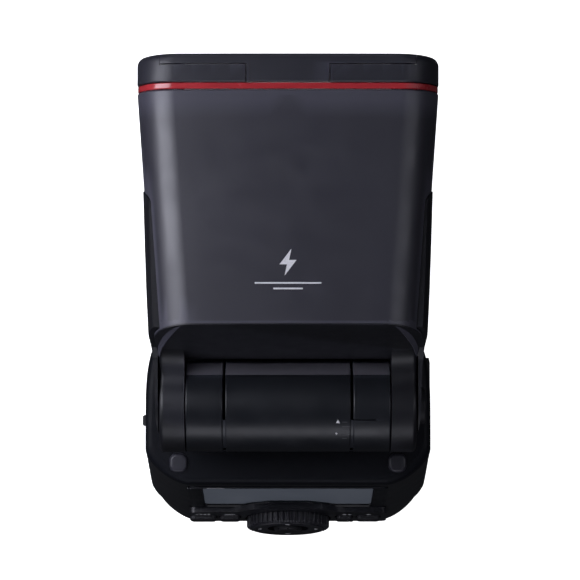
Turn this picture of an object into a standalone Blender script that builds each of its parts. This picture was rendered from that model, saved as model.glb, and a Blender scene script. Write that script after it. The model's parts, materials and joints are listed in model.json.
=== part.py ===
"""Speedlight flash: an assembly of separate pieces, in metres, +Z up.

The origin is the centre of the shoe foot's bottom face, under the swivel axis.
+X is the user's right seen from behind, +Y is where the light goes.
Sizes below are in millimetres; MM turns them into metres.
"""
import math

import bmesh
import bpy
from mathutils import Matrix, Vector

MM = 0.001
GAP = 0.3

# Head: a tapering box that tilts about a barrel.
HINGE_Z = 110.0
HEAD_TOP = 149.0
HEAD_BOTTOM = 96.0
HEAD_FRONT = 95.5
HEAD_REAR = 14.0
HEAD_HALF_REAR = 36.6
HEAD_HALF_FRONT = 41.4
HEAD_TAPER = 0.0557
HEAD_CORNER_X = 10.5
HEAD_CORNER_Z = 14.0
HEAD_CORNER_LOW = 6.0
HEAD_WALL = 2.0
HEAD_PART_Z = 122.0
SLOPE_TOP_Y = 22.3
SLOPE_LOW_Y = 12.8
SLOPE_LOW_Z = 116.0
RING_Y = (85.9, 87.6)
RING_SUNK = 0.25
COLLAR_Y = 87.8
COLLAR_ROUND = 2.6
LIP_Y = 92.8
LIP_HALF = 34.8
TAB_HALF = 11.2
TAB_LOW = 147.3
CARD_HALF = 29.5
CARD_Z = (145.4, 146.5)
WIDE_HALF = 31.8
WIDE_Z = (143.4, 144.8)
WIDE_LIP_HIGH = 145.1
PLATE_REAR = 43.0
LENS_Y = (89.6, 92.8)
LENS_MIDDLE_Z = 120.8
LENS_HALF = (32.7, 18.5)
LENS_FRAME_Y = (88.2, 93.4)
LENS_FRAME_HALF = (35.7, 22.0)

# Long side covers, sunk flush in the head's sides and running straight back over the ears.
SIDE_REAR = -10.0
SIDE_FRONT = 59.3
SIDE_LOW = 98.0
SIDE_HIGH = 142.5
SIDE_PROUD = 0.1
SIDE_DEEP = 0.8
SIDE_FLARE = ((-15.0, 0.2), (-7.0, 1.45), (-3.0, 1.75), (10.0, 1.05), (23.0, 0.0), (64.0, 0.0))

# Barrel and ears.
BARREL_R = 12.9
BARREL_HALF = 17.65
BARREL_CUT_Z = 101.3
EAR_INNER = 28.9
EAR_OUTER = 36.0
EAR_R = 13.0
SHAFT_R = 3.0
SHAFT_HALF = 32.8
BUTTON_R = 5.0
BUTTON_X = (35.3, 38.9)
BUTTON_WELL = (5.4, 33.6)
DISC_R = 15.5
DISC_HIGH = 92.0
NECK_HALF = (27.5, 10.5)
NECK_HIGH = 101.0
SPINDLE_R = 11.7
SPINDLE_LOW = 79.0
CLIP_GROOVE_R = 10.4
CLIP_GROOVE_Z = (80.4, 82.8)

# Zoom drive and cooling fan inside the head.
LAMP_Z = 120.5
LAMP_REAR = 58.0
LAMP_FRONT = 84.0
SCREW_X = 31.0
GUIDE_X = -31.5
FAN_X = -14.0
FAN_Y = 20.8
FAN_Z = 121.0
FAN_HALF = 12.5
FAN_DEEP = 8.0
FAN_BLADES = 7

# Body: a block with a leaning control panel behind.
BODY_HALF = 41.65
BODY_WALL = 2.0
BODY_LOW = 13.0
BODY_HIGH = 84.0
DECK_TOP = 90.0
PANEL_LOW_Z = 24.0
PANEL_LOW_Y = -36.3
PANEL_LEAN = math.radians(12.3)
FRONT_LOW_Y = 27.0
FRONT_LEAN = 3.0 / 60.0
REAR_CORNER_X = 12.6
REAR_CORNER_POWER = 1.55
REAR_CORNER_Y = (11.8, 7.8, 10.4)
WAIST_Z = 44.0
FRONT_CORNER = (14.0, 27.0, 3.0)
SPLIT_Y = -16.0
DECK_STEPS = ((0.0, 0.0), (3.7, 0.4), (5.1, 1.2), (5.7, 2.4))
SWIVEL_BORE_R = 12.0
LUG_X = (29.1, 34.4)
LUG_Y = (-19.4, -13.8)
LUG_HIGH = 91.0

# Openings in the body's sides and front.
DOOR_FACE_X = 41.8
DOOR_Y = (-13.0, 14.0)
DOOR_STEP_Y = 14.5
DOOR_Z = (19.0, 78.0)
FLAP_Y = (-6.5, 8.0)
FLAP_Z = (50.0, 76.0)
SKIN_WALL = 1.2
WINDOW_HALF = 20.0
WINDOW_Z = (44.0, 68.0)

# Controls on the leaning panel: x, distance up the panel, half sizes.
DIAL_UP = 14.3
DIAL_R = 12.7
DIAL_BORE = 6.3
DIAL_TEETH = 36
DIAL_TOOTH = 0.7
DIAL_OUT = (0.6, 5.1)
PLATE_OUT = 2.0
LCD_HALF = 25.2
LCD_UP = (27.4, 57.6)
BUTTON_UP = 17.4
BUTTONS = {
    "button_mode": (-26.0, 4.0, 2.6),
    "button_menu": (-17.8, 3.1, 2.6),
    "button_zoom": (17.2, 2.5, 2.6),
    "button_test": (24.6, 3.6, 2.2),
}

# Shoe foot, to the standard accessory shoe.
SHOE_HALF_WIDTH = 9.3
SHOE_HALF_LENGTH = 9.0
SHOE_THICK = 2.0
SHOE_NECK_HALF = 6.2
FOOT_LOW = 4.3
FOOT_HIGH = 9.0
FOOT_HALF = (17.0, 19.0)
LOCK_PIN_Y = 6.5
LOCK_PIN_R = 1.0
LEVER_R = 15.5
LEVER_HIGH = 12.2
LEVER_MIDDLE_Z = 10.75
CONTACTS = ((0.0, 0.0), (-3.2, 2.6), (3.2, 2.6), (-3.2, -3.2), (3.2, -3.2))

# Reaches that are simply longer than the part, for cutting tools.
FAR = 60.0
ABOVE = 170.0

BLACK = (0.012, 0.012, 0.015)
CHARCOAL = (0.045, 0.045, 0.055)
DARK = (0.02, 0.02, 0.024)
GREY = (0.3, 0.3, 0.3)
STEEL = (0.5, 0.5, 0.5)
ALONG_X = (1, 0, 0)
ALONG_Y = (0, 1, 0)
UPRIGHT = (0, 0, 1)


# ---- building blocks -------------------------------------------------------

def material(name, colour, roughness, metallic):
    """A plain Principled material for one piece."""
    made = bpy.data.materials.new(name)
    made.use_nodes = True
    shader = made.node_tree.nodes["Principled BSDF"]
    shader.inputs["Base Color"].default_value = (*colour, 1.0)
    shader.inputs["Roughness"].default_value = roughness
    shader.inputs["Metallic"].default_value = metallic
    return made


def to_object(bm, name="tool"):
    """Turn a bmesh in millimetres into an object in metres."""
    bmesh.ops.recalc_face_normals(bm, faces=bm.faces)
    bmesh.ops.scale(bm, vec=(MM, MM, MM), verts=bm.verts)
    mesh = bpy.data.meshes.new(name)
    bm.to_mesh(mesh)
    bm.free()
    made = bpy.data.objects.new(name, mesh)
    bpy.context.collection.objects.link(made)
    return made


def loft(rings):
    """Skin a list of rings that have the same number of points."""
    bm = bmesh.new()
    loops = [[bm.verts.new(point) for point in ring] for ring in rings]
    count = len(loops[0])
    for low, high in zip(loops, loops[1:]):
        for i in range(count):
            j = (i + 1) % count
            bm.faces.new((low[i], low[j], high[j], high[i]))
    bm.faces.new(loops[0])
    bm.faces.new(loops[-1])
    bmesh.ops.triangulate(bm, faces=[face for face in bm.faces if len(face.verts) == 4])
    return to_object(bm)


def prism(outline, axis, low, high):
    """Extrude a flat outline along an axis between two heights."""
    spots = {
        "X": lambda a, b, t: (t, a, b),
        "Y": lambda a, b, t: (a, t, b),
        "Z": lambda a, b, t: (a, b, t),
    }[axis]
    return loft([[spots(a, b, t) for a, b in outline] for t in (low, high)])


def box(x, y, z, bevel=0.0):
    """A block between three pairs of limits, with bevelled edges if asked."""
    bm = bmesh.new()
    bmesh.ops.create_cube(bm, size=1.0)
    size = (x[1] - x[0], y[1] - y[0], z[1] - z[0])
    middle = ((x[0] + x[1]) / 2, (y[0] + y[1]) / 2, (z[0] + z[1]) / 2)
    bmesh.ops.scale(bm, vec=size, verts=bm.verts)
    if bevel:
        bmesh.ops.bevel(bm, geom=bm.edges[:], offset=bevel, segments=1, affect="EDGES")
    bmesh.ops.translate(bm, vec=middle, verts=bm.verts)
    return to_object(bm)


def turned(profile, steps, start, direction):
    """Turn a profile of (radius, height) points about a line."""
    turn = Vector((0, 0, 1)).rotation_difference(Vector(direction)).to_matrix()
    base = Vector(start)
    bm = bmesh.new()
    loops = []
    for radius, height in profile:
        ring = []
        for i in range(steps):
            angle = math.tau * i / steps
            spot = Vector((radius * math.cos(angle), radius * math.sin(angle), height))
            ring.append(bm.verts.new(base + turn @ spot))
        loops.append(ring)
    for low, high in zip(loops, loops[1:]):
        for i in range(steps):
            j = (i + 1) % steps
            bm.faces.new((low[i], low[j], high[j], high[i]))
    bm.faces.new(loops[0])
    bm.faces.new(loops[-1])
    return to_object(bm)


def rod(radius, start, direction, low, high, steps=24):
    """A plain cylinder along a line."""
    return turned([(radius, low), (radius, high)], steps, start, direction)


def boolean(target, operation, *tools):
    """Cut, join or intersect with the exact solver, then drop the tools."""
    for tool in tools:
        step = target.modifiers.new(operation, "BOOLEAN")
        step.operation = operation
        step.solver = "EXACT"
        step.object = tool
        bpy.context.view_layer.update()
        graph = bpy.context.evaluated_depsgraph_get()
        result = bpy.data.meshes.new_from_object(target.evaluated_get(graph))
        target.modifiers.clear()
        target.data = result
        bpy.data.objects.remove(tool)
    return target


def cut(target, *tools):
    return boolean(target, "DIFFERENCE", *tools)


def join(target, *tools):
    return boolean(target, "UNION", *tools)


def common(target, *tools):
    return boolean(target, "INTERSECT", *tools)


def finish(made, name, colour, roughness=0.5, metallic=0.0, origin=None):
    """Name a piece, give it its material and put its origin on its axis."""
    made.name = name
    made.data.name = name
    made.data.materials.clear()
    made.data.materials.append(material(name, colour, roughness, metallic))
    made.data.shade_smooth()
    made.data.set_sharp_from_angle(angle=math.radians(30))
    if origin is not None:
        spot = Vector(origin) * MM
        made.data.transform(Matrix.Translation(-spot))
        made.location = spot
    return made


def corner(centre, reach, power, start, steps):
    """A quarter of a superellipse about a centre, from a start quadrant."""
    points = []
    for i in range(steps + 1):
        angle = math.radians(90.0 * (start + i / steps))
        c = math.cos(angle)
        s = math.sin(angle)
        x = centre[0] + math.copysign(reach[0] * abs(c) ** (2 / power), c)
        y = centre[1] + math.copysign(reach[1] * abs(s) ** (2 / power), s)
        points.append((x, y))
    return points


# ---- head outline ----------------------------------------------------------

def head_half(y):
    return min(HEAD_HALF_REAR + HEAD_TAPER * y, HEAD_HALF_FRONT)


def head_ring(y, inset, narrow=0.0):
    """The head's cross-section at one y, pulled in by inset and narrowed at its sides."""
    half = head_half(y) - inset - narrow
    low = HEAD_BOTTOM + inset
    high = HEAD_TOP - inset
    cx = max(HEAD_CORNER_X - inset, 1.0)
    cz = max(HEAD_CORNER_Z - inset, 1.0)
    cl = max(HEAD_CORNER_LOW - inset, 1.0)
    outline = corner((half - cx, high - cz), (cx, cz), 2.0, 0, 5)
    outline += corner((cx - half, high - cz), (cx, cz), 2.0, 1, 5)
    outline += corner((cl - half, low + cl), (cl, cl), 2.0, 2, 3)
    outline += corner((half - cl, low + cl), (cl, cl), 2.0, 3, 3)
    return [(x, y, z) for x, z in outline]


def head_solid(stations):
    """A head block through (y, inset) or (y, inset, narrow) stations."""
    return loft([head_ring(*station) for station in stations])


def behind_slope(offset):
    """The wedge behind the head's sloping rear face, moved forward by offset."""
    rise = (HEAD_TOP - SLOPE_LOW_Z) / (SLOPE_TOP_Y - SLOPE_LOW_Y)
    shift = offset * math.sqrt(1 + 1 / rise ** 2)
    foot = SLOPE_LOW_Y + shift
    beyond = 10.0
    outline = [
        (foot - beyond / rise, SLOPE_LOW_Z - beyond),
        (SLOPE_TOP_Y + shift + beyond / rise, HEAD_TOP + beyond),
        (-beyond, HEAD_TOP + beyond),
        (-beyond, SLOPE_LOW_Z - beyond),
    ]
    return prism(outline, "X", -FAR, FAR)


def side_outline(grow=0.0):
    """The side cover's outline, seen from the side as (y, z)."""
    ear = 12.4
    outline = corner((SIDE_REAR + ear, HINGE_Z), (ear, ear), 2.0, 1, 5)
    outline += corner((SIDE_REAR + ear, HINGE_Z), (ear, ear), 2.0, 2, 5)[1:]
    outline += corner((SIDE_FRONT - 4, SIDE_LOW + 4), (4 + grow, 4 + grow), 2.0, 3, 3)
    outline += corner((SIDE_FRONT - 4, SIDE_HIGH - 12), (4 + grow, 12 + grow), 2.0, 0, 4)
    outline += [(21.6 - grow, SIDE_HIGH + grow), (16.4 - grow, 124.8), (13.0 - grow, 122.6)]
    return outline


def side_recess():
    """The shallow steps in the head's sides that the side covers sit in."""
    whole = prism(side_outline(GAP), "X", -FAR, FAR)
    deep = SIDE_DEEP + GAP
    return cut(whole, head_solid([(SIDE_REAR - 5, deep), (SIDE_FRONT + 5, deep)]))


def head_shell():
    """The head's hollow skin, closed behind and open in front."""
    end = RING_Y[0] - 0.2
    outer = cut(head_solid([(HEAD_REAR, 0), (end, 0)]), behind_slope(0))
    hollow = head_solid([(HEAD_REAR + HEAD_WALL, HEAD_WALL), (end + 5, HEAD_WALL)])
    hollow = cut(hollow, behind_slope(HEAD_WALL))
    return cut(outer, hollow, side_recess())


# ---- body outline ----------------------------------------------------------

def panel_y(z):
    """The leaning panel's y at a height."""
    level = max(PANEL_LOW_Z, min(z, BODY_HIGH))
    return PANEL_LOW_Y + (level - PANEL_LOW_Z) * math.tan(PANEL_LEAN)


def front_y(z):
    return FRONT_LOW_Y - FRONT_LEAN * (z - PANEL_LOW_Z)


def rear_reach(z):
    """How far forward the rear corner runs: least at the waist, more above and below."""
    low, waist, high = REAR_CORNER_Y
    if z < WAIST_Z:
        share = max(0.0, (z - PANEL_LOW_Z) / (WAIST_Z - PANEL_LOW_Z))
        return low + (waist - low) * share
    share = min(1.0, (z - WAIST_Z) / (BODY_HIGH - WAIST_Z))
    return waist + (high - waist) * share


def body_ring(z, inset):
    """The body's plan outline at one height, pulled in by inset."""
    half = BODY_HALF - inset
    rear = panel_y(z) + inset
    front = front_y(z) - inset
    fx, fy, power = FRONT_CORNER
    rx = REAR_CORNER_X
    ry = rear_reach(z)
    fy = min(fy, front - rear - ry - 0.5)
    outline = corner((half - fx, front - fy), (fx, fy), power, 0, 6)
    outline += corner((fx - half, front - fy), (fx, fy), power, 1, 6)
    outline += corner((rx - half, rear + ry), (rx, ry), REAR_CORNER_POWER, 2, 6)
    outline += corner((half - rx, rear + ry), (rx, ry), REAR_CORNER_POWER, 3, 6)
    return [(x, y, z) for x, y in outline]


def body_solid(levels):
    return loft([body_ring(z, inset) for z, inset in levels])


def body_block(grow=0.0, spare=0.0):
    """The body's outer shape, grown outward, its ends carried further by spare."""
    return body_solid([
        (BODY_LOW - spare, 5.0 - grow), (18.0, 1.2 - grow), (PANEL_LOW_Z, -grow),
        (WAIST_Z, -grow), (BODY_HIGH + spare, -grow),
    ])


def body_hollow(wall):
    return body_block(-wall, 3.0)


def body_shell():
    return cut(body_block(), body_hollow(BODY_WALL))


def on_panel(x, up, out):
    """A point from its place on the leaning panel."""
    y = PANEL_LOW_Y + up * math.sin(PANEL_LEAN) - out * math.cos(PANEL_LEAN)
    z = PANEL_LOW_Z + up * math.cos(PANEL_LEAN) + out * math.sin(PANEL_LEAN)
    return Vector((x, y, z))


PANEL_NORMAL = (0.0, -math.cos(PANEL_LEAN), math.sin(PANEL_LEAN))


def panel_prism(outline, low, high):
    """Extrude an (x, up) outline off the leaning panel."""
    return loft([[on_panel(x, up, out) for x, up in outline] for out in (low, high)])


def panel_box(x, up, out):
    outline = [(x[0], up[0]), (x[1], up[0]), (x[1], up[1]), (x[0], up[1])]
    return panel_prism(outline, *out)


def pill(x, up, half_x, half_up, radius, steps=3):
    """A rounded outline on the panel."""
    cx = half_x - radius
    cy = half_up - radius
    outline = []
    for quadrant, (sx, sy) in enumerate(((1, 1), (-1, 1), (-1, -1), (1, -1))):
        middle = (x + sx * cx, up + sy * cy)
        outline += corner(middle, (radius, radius), 2.0, quadrant, steps)
    return outline


def dial_rod(radius, low, high, steps=32):
    return rod(radius, on_panel(0, DIAL_UP, 0), PANEL_NORMAL, low, high, steps)


def widened(pair, by=GAP):
    return (pair[0] - by, pair[1] + by)


# ---- body pieces -----------------------------------------------------------

def make_body_front_case():
    case = common(body_shell(), box((-FAR, FAR), (SPLIT_Y + GAP / 2, FAR), (0, ABOVE)))
    door = box((30, FAR), (DOOR_Y[0] - GAP, DOOR_STEP_Y), widened(DOOR_Z))
    flap = box((-FAR, -30), widened(FLAP_Y), widened(FLAP_Z))
    window = box(widened((-WINDOW_HALF, WINDOW_HALF)), (10, FAR), widened(WINDOW_Z))
    finish(cut(case, door, flap, window), "body_front_case", BLACK, 0.55)


def make_body_rear_case():
    case = common(body_shell(), box((-FAR, FAR), (-80, SPLIT_Y - GAP / 2), (0, ABOVE)))
    screen = panel_box(widened((-LCD_HALF, LCD_HALF)), widened(LCD_UP), (-6, 4))
    finish(cut(case, screen, dial_rod(DIAL_BORE + 0.1, -8, 4)), "body_rear_case", BLACK, 0.55)


def make_top_deck():
    """The flat top with a bore for the swivel and a lug at each rear corner."""
    start = BODY_HIGH + GAP
    deck = body_solid([(start + rise, inset) for rise, inset in DECK_STEPS])
    for side in (-1, 1):
        ends = sorted(side * x for x in LUG_X)
        deck = join(deck, box(ends, LUG_Y, (BODY_HIGH + 2, LUG_HIGH), 0.5))
    bore = rod(SWIVEL_BORE_R, (0, 0, 0), UPRIGHT, BODY_HIGH - 4, LUG_HIGH + 4, 48)
    finish(cut(deck, bore), "top_deck", BLACK, 0.5)


def make_bottom_plate():
    plate = body_solid([(BODY_LOW + GAP, 5.9), (BODY_LOW + 2, 5.1)])
    finish(plate, "bottom_plate", BLACK, 0.6)


def make_foot():
    """The base block on top of the shoe plate, joined by four screws."""
    half_x, half_y = FOOT_HALF
    base = box((-half_x, half_x), (-half_y, half_y), (FOOT_LOW, FOOT_HIGH), 1.0)
    base = join(base, rod(7.7, (0, 0, 0), UPRIGHT, FOOT_HIGH - 1, BODY_LOW, 32))
    wide = SHOE_HALF_WIDTH
    neck = SHOE_NECK_HALF
    top = FOOT_LOW - GAP
    t_shape = [
        (-wide, 0), (wide, 0), (wide, SHOE_THICK), (neck, SHOE_THICK), (neck, top),
        (-neck, top), (-neck, SHOE_THICK), (-wide, SHOE_THICK),
    ]
    plate = prism(t_shape, "Y", -SHOE_HALF_LENGTH, SHOE_HALF_LENGTH)
    plate = cut(plate, box((-5.3, 5.3), (-5.8, 4.8), (-1, 1.4)))
    pin_hole = (LOCK_PIN_R + 0.25, (0, LOCK_PIN_Y, 0), UPRIGHT)
    plate = cut(plate, rod(*pin_hole, -1, LEVER_HIGH, 16))
    base = cut(base, rod(*pin_hole, 0, LEVER_HIGH, 16))
    spots = [(x, y, 0) for x in (-4.3, 4.3) for y in (-7.4, 7.0)]
    for number, spot in enumerate(spots, 1):
        plate = cut(plate, rod(1.5, spot, UPRIGHT, -1, 1.2, 12), rod(0.9, spot, UPRIGHT, 1, 6, 12))
        base = cut(base, rod(0.9, spot, UPRIGHT, 3, 7.6, 12))
        screw = turned([(1.3, 0.1), (1.3, 1.0), (0.6, 1.05), (0.6, 7.2)], 12, spot, UPRIGHT)
        finish(screw, f"foot_screw_{number}", (0.35, 0.35, 0.36), 0.3, 1.0)
    finish(base, "foot_base", BLACK, 0.6)
    finish(plate, "shoe_plate", STEEL, 0.3, 1.0)


def make_contacts():
    """An insulating block with five round contacts, flush with the shoe's face."""
    block = box((-5, 5), (-5.5, 4.5), (0, 1.1))
    for x, y in CONTACTS:
        spot = (x, y, 0)
        groove = cut(rod(1.2, spot, UPRIGHT, -1, 0.3, 12), rod(0.9, spot, UPRIGHT, -2, 1, 12))
        block = cut(block, groove)
    finish(block, "contact_block", (0.55, 0.45, 0.2), 0.3, 1.0)


def make_lock_lever():
    low = FOOT_HIGH + GAP
    ring = rod(LEVER_R, (0, 0, 0), UPRIGHT, low, LEVER_HIGH, 40)
    arm = box((-6, 6), (-31, -8), (low, LEVER_HIGH), 0.6)
    lever = cut(join(ring, arm), rod(8.0, (0, 0, 0), UPRIGHT, low - 4, LEVER_HIGH + 3, 32))
    lever = cut(lever, box((-2.9, 2.9), (-35, -24.8), (low - 4, LEVER_HIGH + 3)))
    finish(lever, "foot_lock_lever", DARK, 0.45, 0.0, (0, 0, LEVER_MIDDLE_Z))
    button = box((-2.5, 2.5), (-32.2, -26.4), (9.6, 11.9), 0.4)
    finish(button, "lock_release_button", DARK, 0.4, 0.0, (0, -29.3, LEVER_MIDDLE_Z))
    pin = rod(LOCK_PIN_R, (0, LOCK_PIN_Y, 0), UPRIGHT, 0.2, FOOT_HIGH, 16)
    finish(pin, "lock_pin", STEEL, 0.25, 1.0, (0, LOCK_PIN_Y, 0.2))


def make_battery_door():
    """A flat lid on the right side, its front edge standing proud of the curved case."""
    door = cut(body_block(0.9), body_hollow(SKIN_WALL))
    door = common(door, box((20, DOOR_FACE_X), DOOR_Y, DOOR_Z))
    grip = box((DOOR_FACE_X - 0.7, DOOR_FACE_X + 0.7), (-11.5, -9.5), (38, 58), 0.4)
    pivot = (DOOR_FACE_X - 0.7, DOOR_Y[1] - 0.4, 48.5)
    finish(join(door, grip), "battery_door", BLACK, 0.5, 0.0, pivot)


def make_terminal_cover():
    """A soft flap on the left side, flush with the case, with a thumb lip."""
    cover = cut(body_block(), body_hollow(SKIN_WALL))
    cover = common(cover, box((-FAR, -20), FLAP_Y, FLAP_Z))
    lip = box((-43.3, -BODY_HALF + 0.8), (-6.3, -3.0), (57, 69), 0.4)
    pivot = (-BODY_HALF + 0.1, FLAP_Y[1] - 0.1, 63)
    finish(join(cover, lip), "terminal_cover", DARK, 0.75, 0.0, pivot)


def make_inside_body():
    """The battery, board, capacitor, sockets and lamp that fill the body."""
    pack = box((13, 37.8), (-12.0, 11.5), (19.5, 77), 1.5)
    finish(pack, "battery_pack", (0.03, 0.03, 0.03), 0.6)
    board = box((-35.5, 11), (-3.0, -1.4), (20, 78))
    finish(board, "main_board", (0.02, 0.12, 0.05), 0.5)
    can = [(9.0, 20), (9.6, 20.6), (9.6, 63.4), (9.0, 64)]
    finish(turned(can, 28, (-25, 11.5, 0), UPRIGHT), "main_capacitor", (0.05, 0.06, 0.12), 0.4)
    face = -37.6
    outward = (-1, 0, 0)
    socket_at = (face, 0, 69.5)
    jack_at = (face, 0, 56.5)
    plate = box((face, face + 1.2), (-8.3, 10), (47, 78))
    socket = turned([(4.2, -0.2), (4.2, 1.6), (3.8, 1.9)], 20, socket_at, outward)
    jack = turned([(3.2, -0.2), (3.2, 1.6), (2.9, 1.9)], 16, jack_at, outward)
    plate = join(plate, socket, jack)
    plate = cut(plate, rod(2.3, socket_at, outward, 0.4, 5, 16), rod(1.3, jack_at, outward, 0.4, 5, 12))
    finish(plate, "sync_terminal", (0.5, 0.45, 0.3), 0.35, 1.0)
    window = common(body_shell(), box((-WINDOW_HALF, WINDOW_HALF), (10, FAR), WINDOW_Z))
    finish(window, "af_window", (0.09, 0.004, 0.006), 0.12)
    lamp = box((-13, 9), (13, 22), (47, 65), 0.8)
    finish(lamp, "af_lamp_module", DARK, 0.6)


# ---- control panel ---------------------------------------------------------

def make_screen():
    glass = panel_box((-LCD_HALF, LCD_HALF), LCD_UP, (-1.5, -0.3))
    finish(glass, "lcd_window", (0.07, 0.08, 0.09), 0.1)
    module = panel_box((-27, 27), widened(LCD_UP, 0.4), (-6, -2.4))
    finish(module, "lcd_module", (0.2, 0.22, 0.21), 0.4)


def make_control_plate():
    """The raised lower plate, with a guard over the dial and holes for the buttons."""
    half = [(30.3, 9.5), (29.8, 25.5), (17, 26), (11, 31)]
    outline = half + [(-x, up) for x, up in reversed(half)]
    plate = panel_prism(outline, GAP, PLATE_OUT)
    plate = cut(plate, dial_rod(DIAL_R + 0.5, -2, 6, 40))
    for x, half_x, half_up in BUTTONS.values():
        hole = pill(x, BUTTON_UP, half_x + 0.35, half_up + 0.35, 1.6)
        plate = cut(plate, panel_prism(hole, -1, 4))
    finish(plate, "control_plate", BLACK, 0.3)


def make_dial():
    teeth = []
    for i in range(DIAL_TEETH * 2):
        angle = math.tau * (i + 0.5) / (DIAL_TEETH * 2)
        radius = DIAL_R if i % 2 else DIAL_R - DIAL_TOOTH
        teeth.append((radius * math.cos(angle), DIAL_UP + radius * math.sin(angle)))
    dial = panel_prism(teeth, *DIAL_OUT)
    rim = [(DIAL_R - 1.6, DIAL_OUT[1] - 0.2), (DIAL_R - 2.4, DIAL_OUT[1] + 0.4)]
    dial = join(dial, turned(rim, 36, on_panel(0, DIAL_UP, 0), PANEL_NORMAL))
    dial = cut(dial, dial_rod(DIAL_BORE, -1, 8))
    finish(dial, "select_dial", DARK, 0.5, 0.0, on_panel(0, DIAL_UP, 0))


def make_joystick():
    centre = on_panel(0, DIAL_UP, 0)
    base = panel_box((-8, 8), widened((DIAL_UP, DIAL_UP), 8), (-6.5, -2.6))
    post = dial_rod(DIAL_BORE - 0.3, -3, 3.9)
    well = dial_rod(5.3, -4.5, 6)
    finish(cut(join(base, post), well), "dial_encoder", DARK, 0.5)
    stem = turned([(1.6, -3.4), (1.6, -0.1)], 16, centre, PANEL_NORMAL)
    finish(stem, "joystick_stem", GREY, 0.4, 0.0, on_panel(0, DIAL_UP, -3.4))
    gimbal = turned([(2.4, 0.5), (2.4, 1.2)], 20, centre, PANEL_NORMAL)
    finish(gimbal, "joystick_gimbal", GREY, 0.4, 0.0, on_panel(0, DIAL_UP, 0.85))
    profile = [(4.2, 1.7), (4.4, 2.6), (4.1, 5.1), (3.2, 6.1), (1.2, 5.7)]
    cap = turned(profile, 28, centre, PANEL_NORMAL)
    finish(cap, "joystick_cap", DARK, 0.35, 0.0, on_panel(0, DIAL_UP, 1.45))


def make_buttons():
    for name, (x, half_x, half_up) in BUTTONS.items():
        rings = []
        for out, pull in ((1.15, 0.0), (2.9, 0.0), (3.3, 0.4)):
            outline = pill(x, BUTTON_UP, half_x - pull, half_up - pull, 1.5 - pull)
            rings.append([on_panel(a, up, out) for a, up in outline])
        finish(loft(rings), name, DARK, 0.45, 0.0, on_panel(x, BUTTON_UP, 1.15))
    knob = panel_box((15.5, 20.5), (3.6, 7.2), (GAP, 1.3))
    finish(knob, "power_switch", DARK, 0.45, 0.0, on_panel(18, 5.4, GAP))


# ---- swivel ----------------------------------------------------------------

def across(radius, low, high, steps=40):
    """A cylinder on the tilt axis."""
    return rod(radius, (0, 0, HINGE_Z), ALONG_X, low, high, steps)


def ring_upright(outer, inner, low, high):
    """A flat ring round the swivel axis."""
    hole = rod(inner, (0, 0, 0), UPRIGHT, low - 1, high + 1)
    return cut(rod(outer, (0, 0, 0), UPRIGHT, low, high, 40), hole)


def make_swivel():
    """The turning base: disc, neck and barrel in one, with a groove for its clip."""
    half_x, half_y = NECK_HALF
    base = rod(DISC_R, (0, 0, 0), UPRIGHT, DECK_TOP + GAP, DISC_HIGH, 40)
    base = join(base, rod(SPINDLE_R, (0, 0, 0), UPRIGHT, SPINDLE_LOW, DECK_TOP + 1, 40))
    base = join(base, box((-half_x, half_x), (-half_y, half_y), (DECK_TOP + 1, NECK_HIGH)))
    base = join(base, box((-28.4, 28.4), (-3, 3), (NECK_HIGH - 6, NECK_HIGH + 5)))
    base = join(base, across(9.0, -28.4, 28.4, 32))
    base = join(base, across(BARREL_R, -BARREL_HALF, BARREL_HALF))
    base = cut(base, across(SHAFT_R + GAP, -40, 40, 24))
    groove = ring_upright(20, CLIP_GROOVE_R, *CLIP_GROOVE_Z)
    finish(cut(base, groove), "swivel_base", DARK, 0.45, 0.0, (0, 0, DECK_TOP))
    clip = ring_upright(DISC_R, CLIP_GROOVE_R + GAP, *widened(CLIP_GROOVE_Z, -GAP))
    finish(clip, "swivel_clip_ring", STEEL, 0.35, 1.0)
    for name, side in (("left", -1), ("right", 1)):
        ends = sorted((side * (BARREL_HALF + GAP), side * (EAR_INNER - 0.2)))
        below = box((-40, 40), (-20, 20), (90, BARREL_CUT_Z))
        cover = cut(across(BARREL_R, *ends), across(9.3, -40, 40, 32), below)
        finish(cover, f"barrel_cover_{name}", DARK, 0.4)


# ---- head pieces -----------------------------------------------------------

def make_head_covers():
    top = common(head_shell(), box((-FAR, FAR), (0, 120), (HEAD_PART_Z + GAP / 2, ABOVE)))
    finish(top, "head_top_cover", CHARCOAL, 0.42)
    low = common(head_shell(), box((-FAR, FAR), (0, 120), (80, HEAD_PART_Z - GAP / 2)))
    finish(low, "head_bottom_cover", BLACK, 0.5)


def make_red_ring():
    band = head_solid([(y, RING_SUNK) for y in RING_Y])
    hollow = head_solid([(y, HEAD_WALL) for y in widened(RING_Y, 3)])
    finish(cut(band, hollow), "red_ring", (0.6, 0.01, 0.01), 0.3)


def collar_block():
    """The collar's outer shape, its front corners rounded in plan."""
    stations = [(COLLAR_Y, 0.0, 0.0)]
    for share, inset in ((1.0, 0.0), (0.6, 0.0), (0.3, 0.1), (0.1, 0.3), (0.0, 0.6)):
        back = COLLAR_ROUND * share
        narrow = COLLAR_ROUND - math.sqrt(COLLAR_ROUND ** 2 - (COLLAR_ROUND - back) ** 2)
        stations.append((HEAD_FRONT - back, inset, narrow - inset))
    return head_solid(stations)


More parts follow.
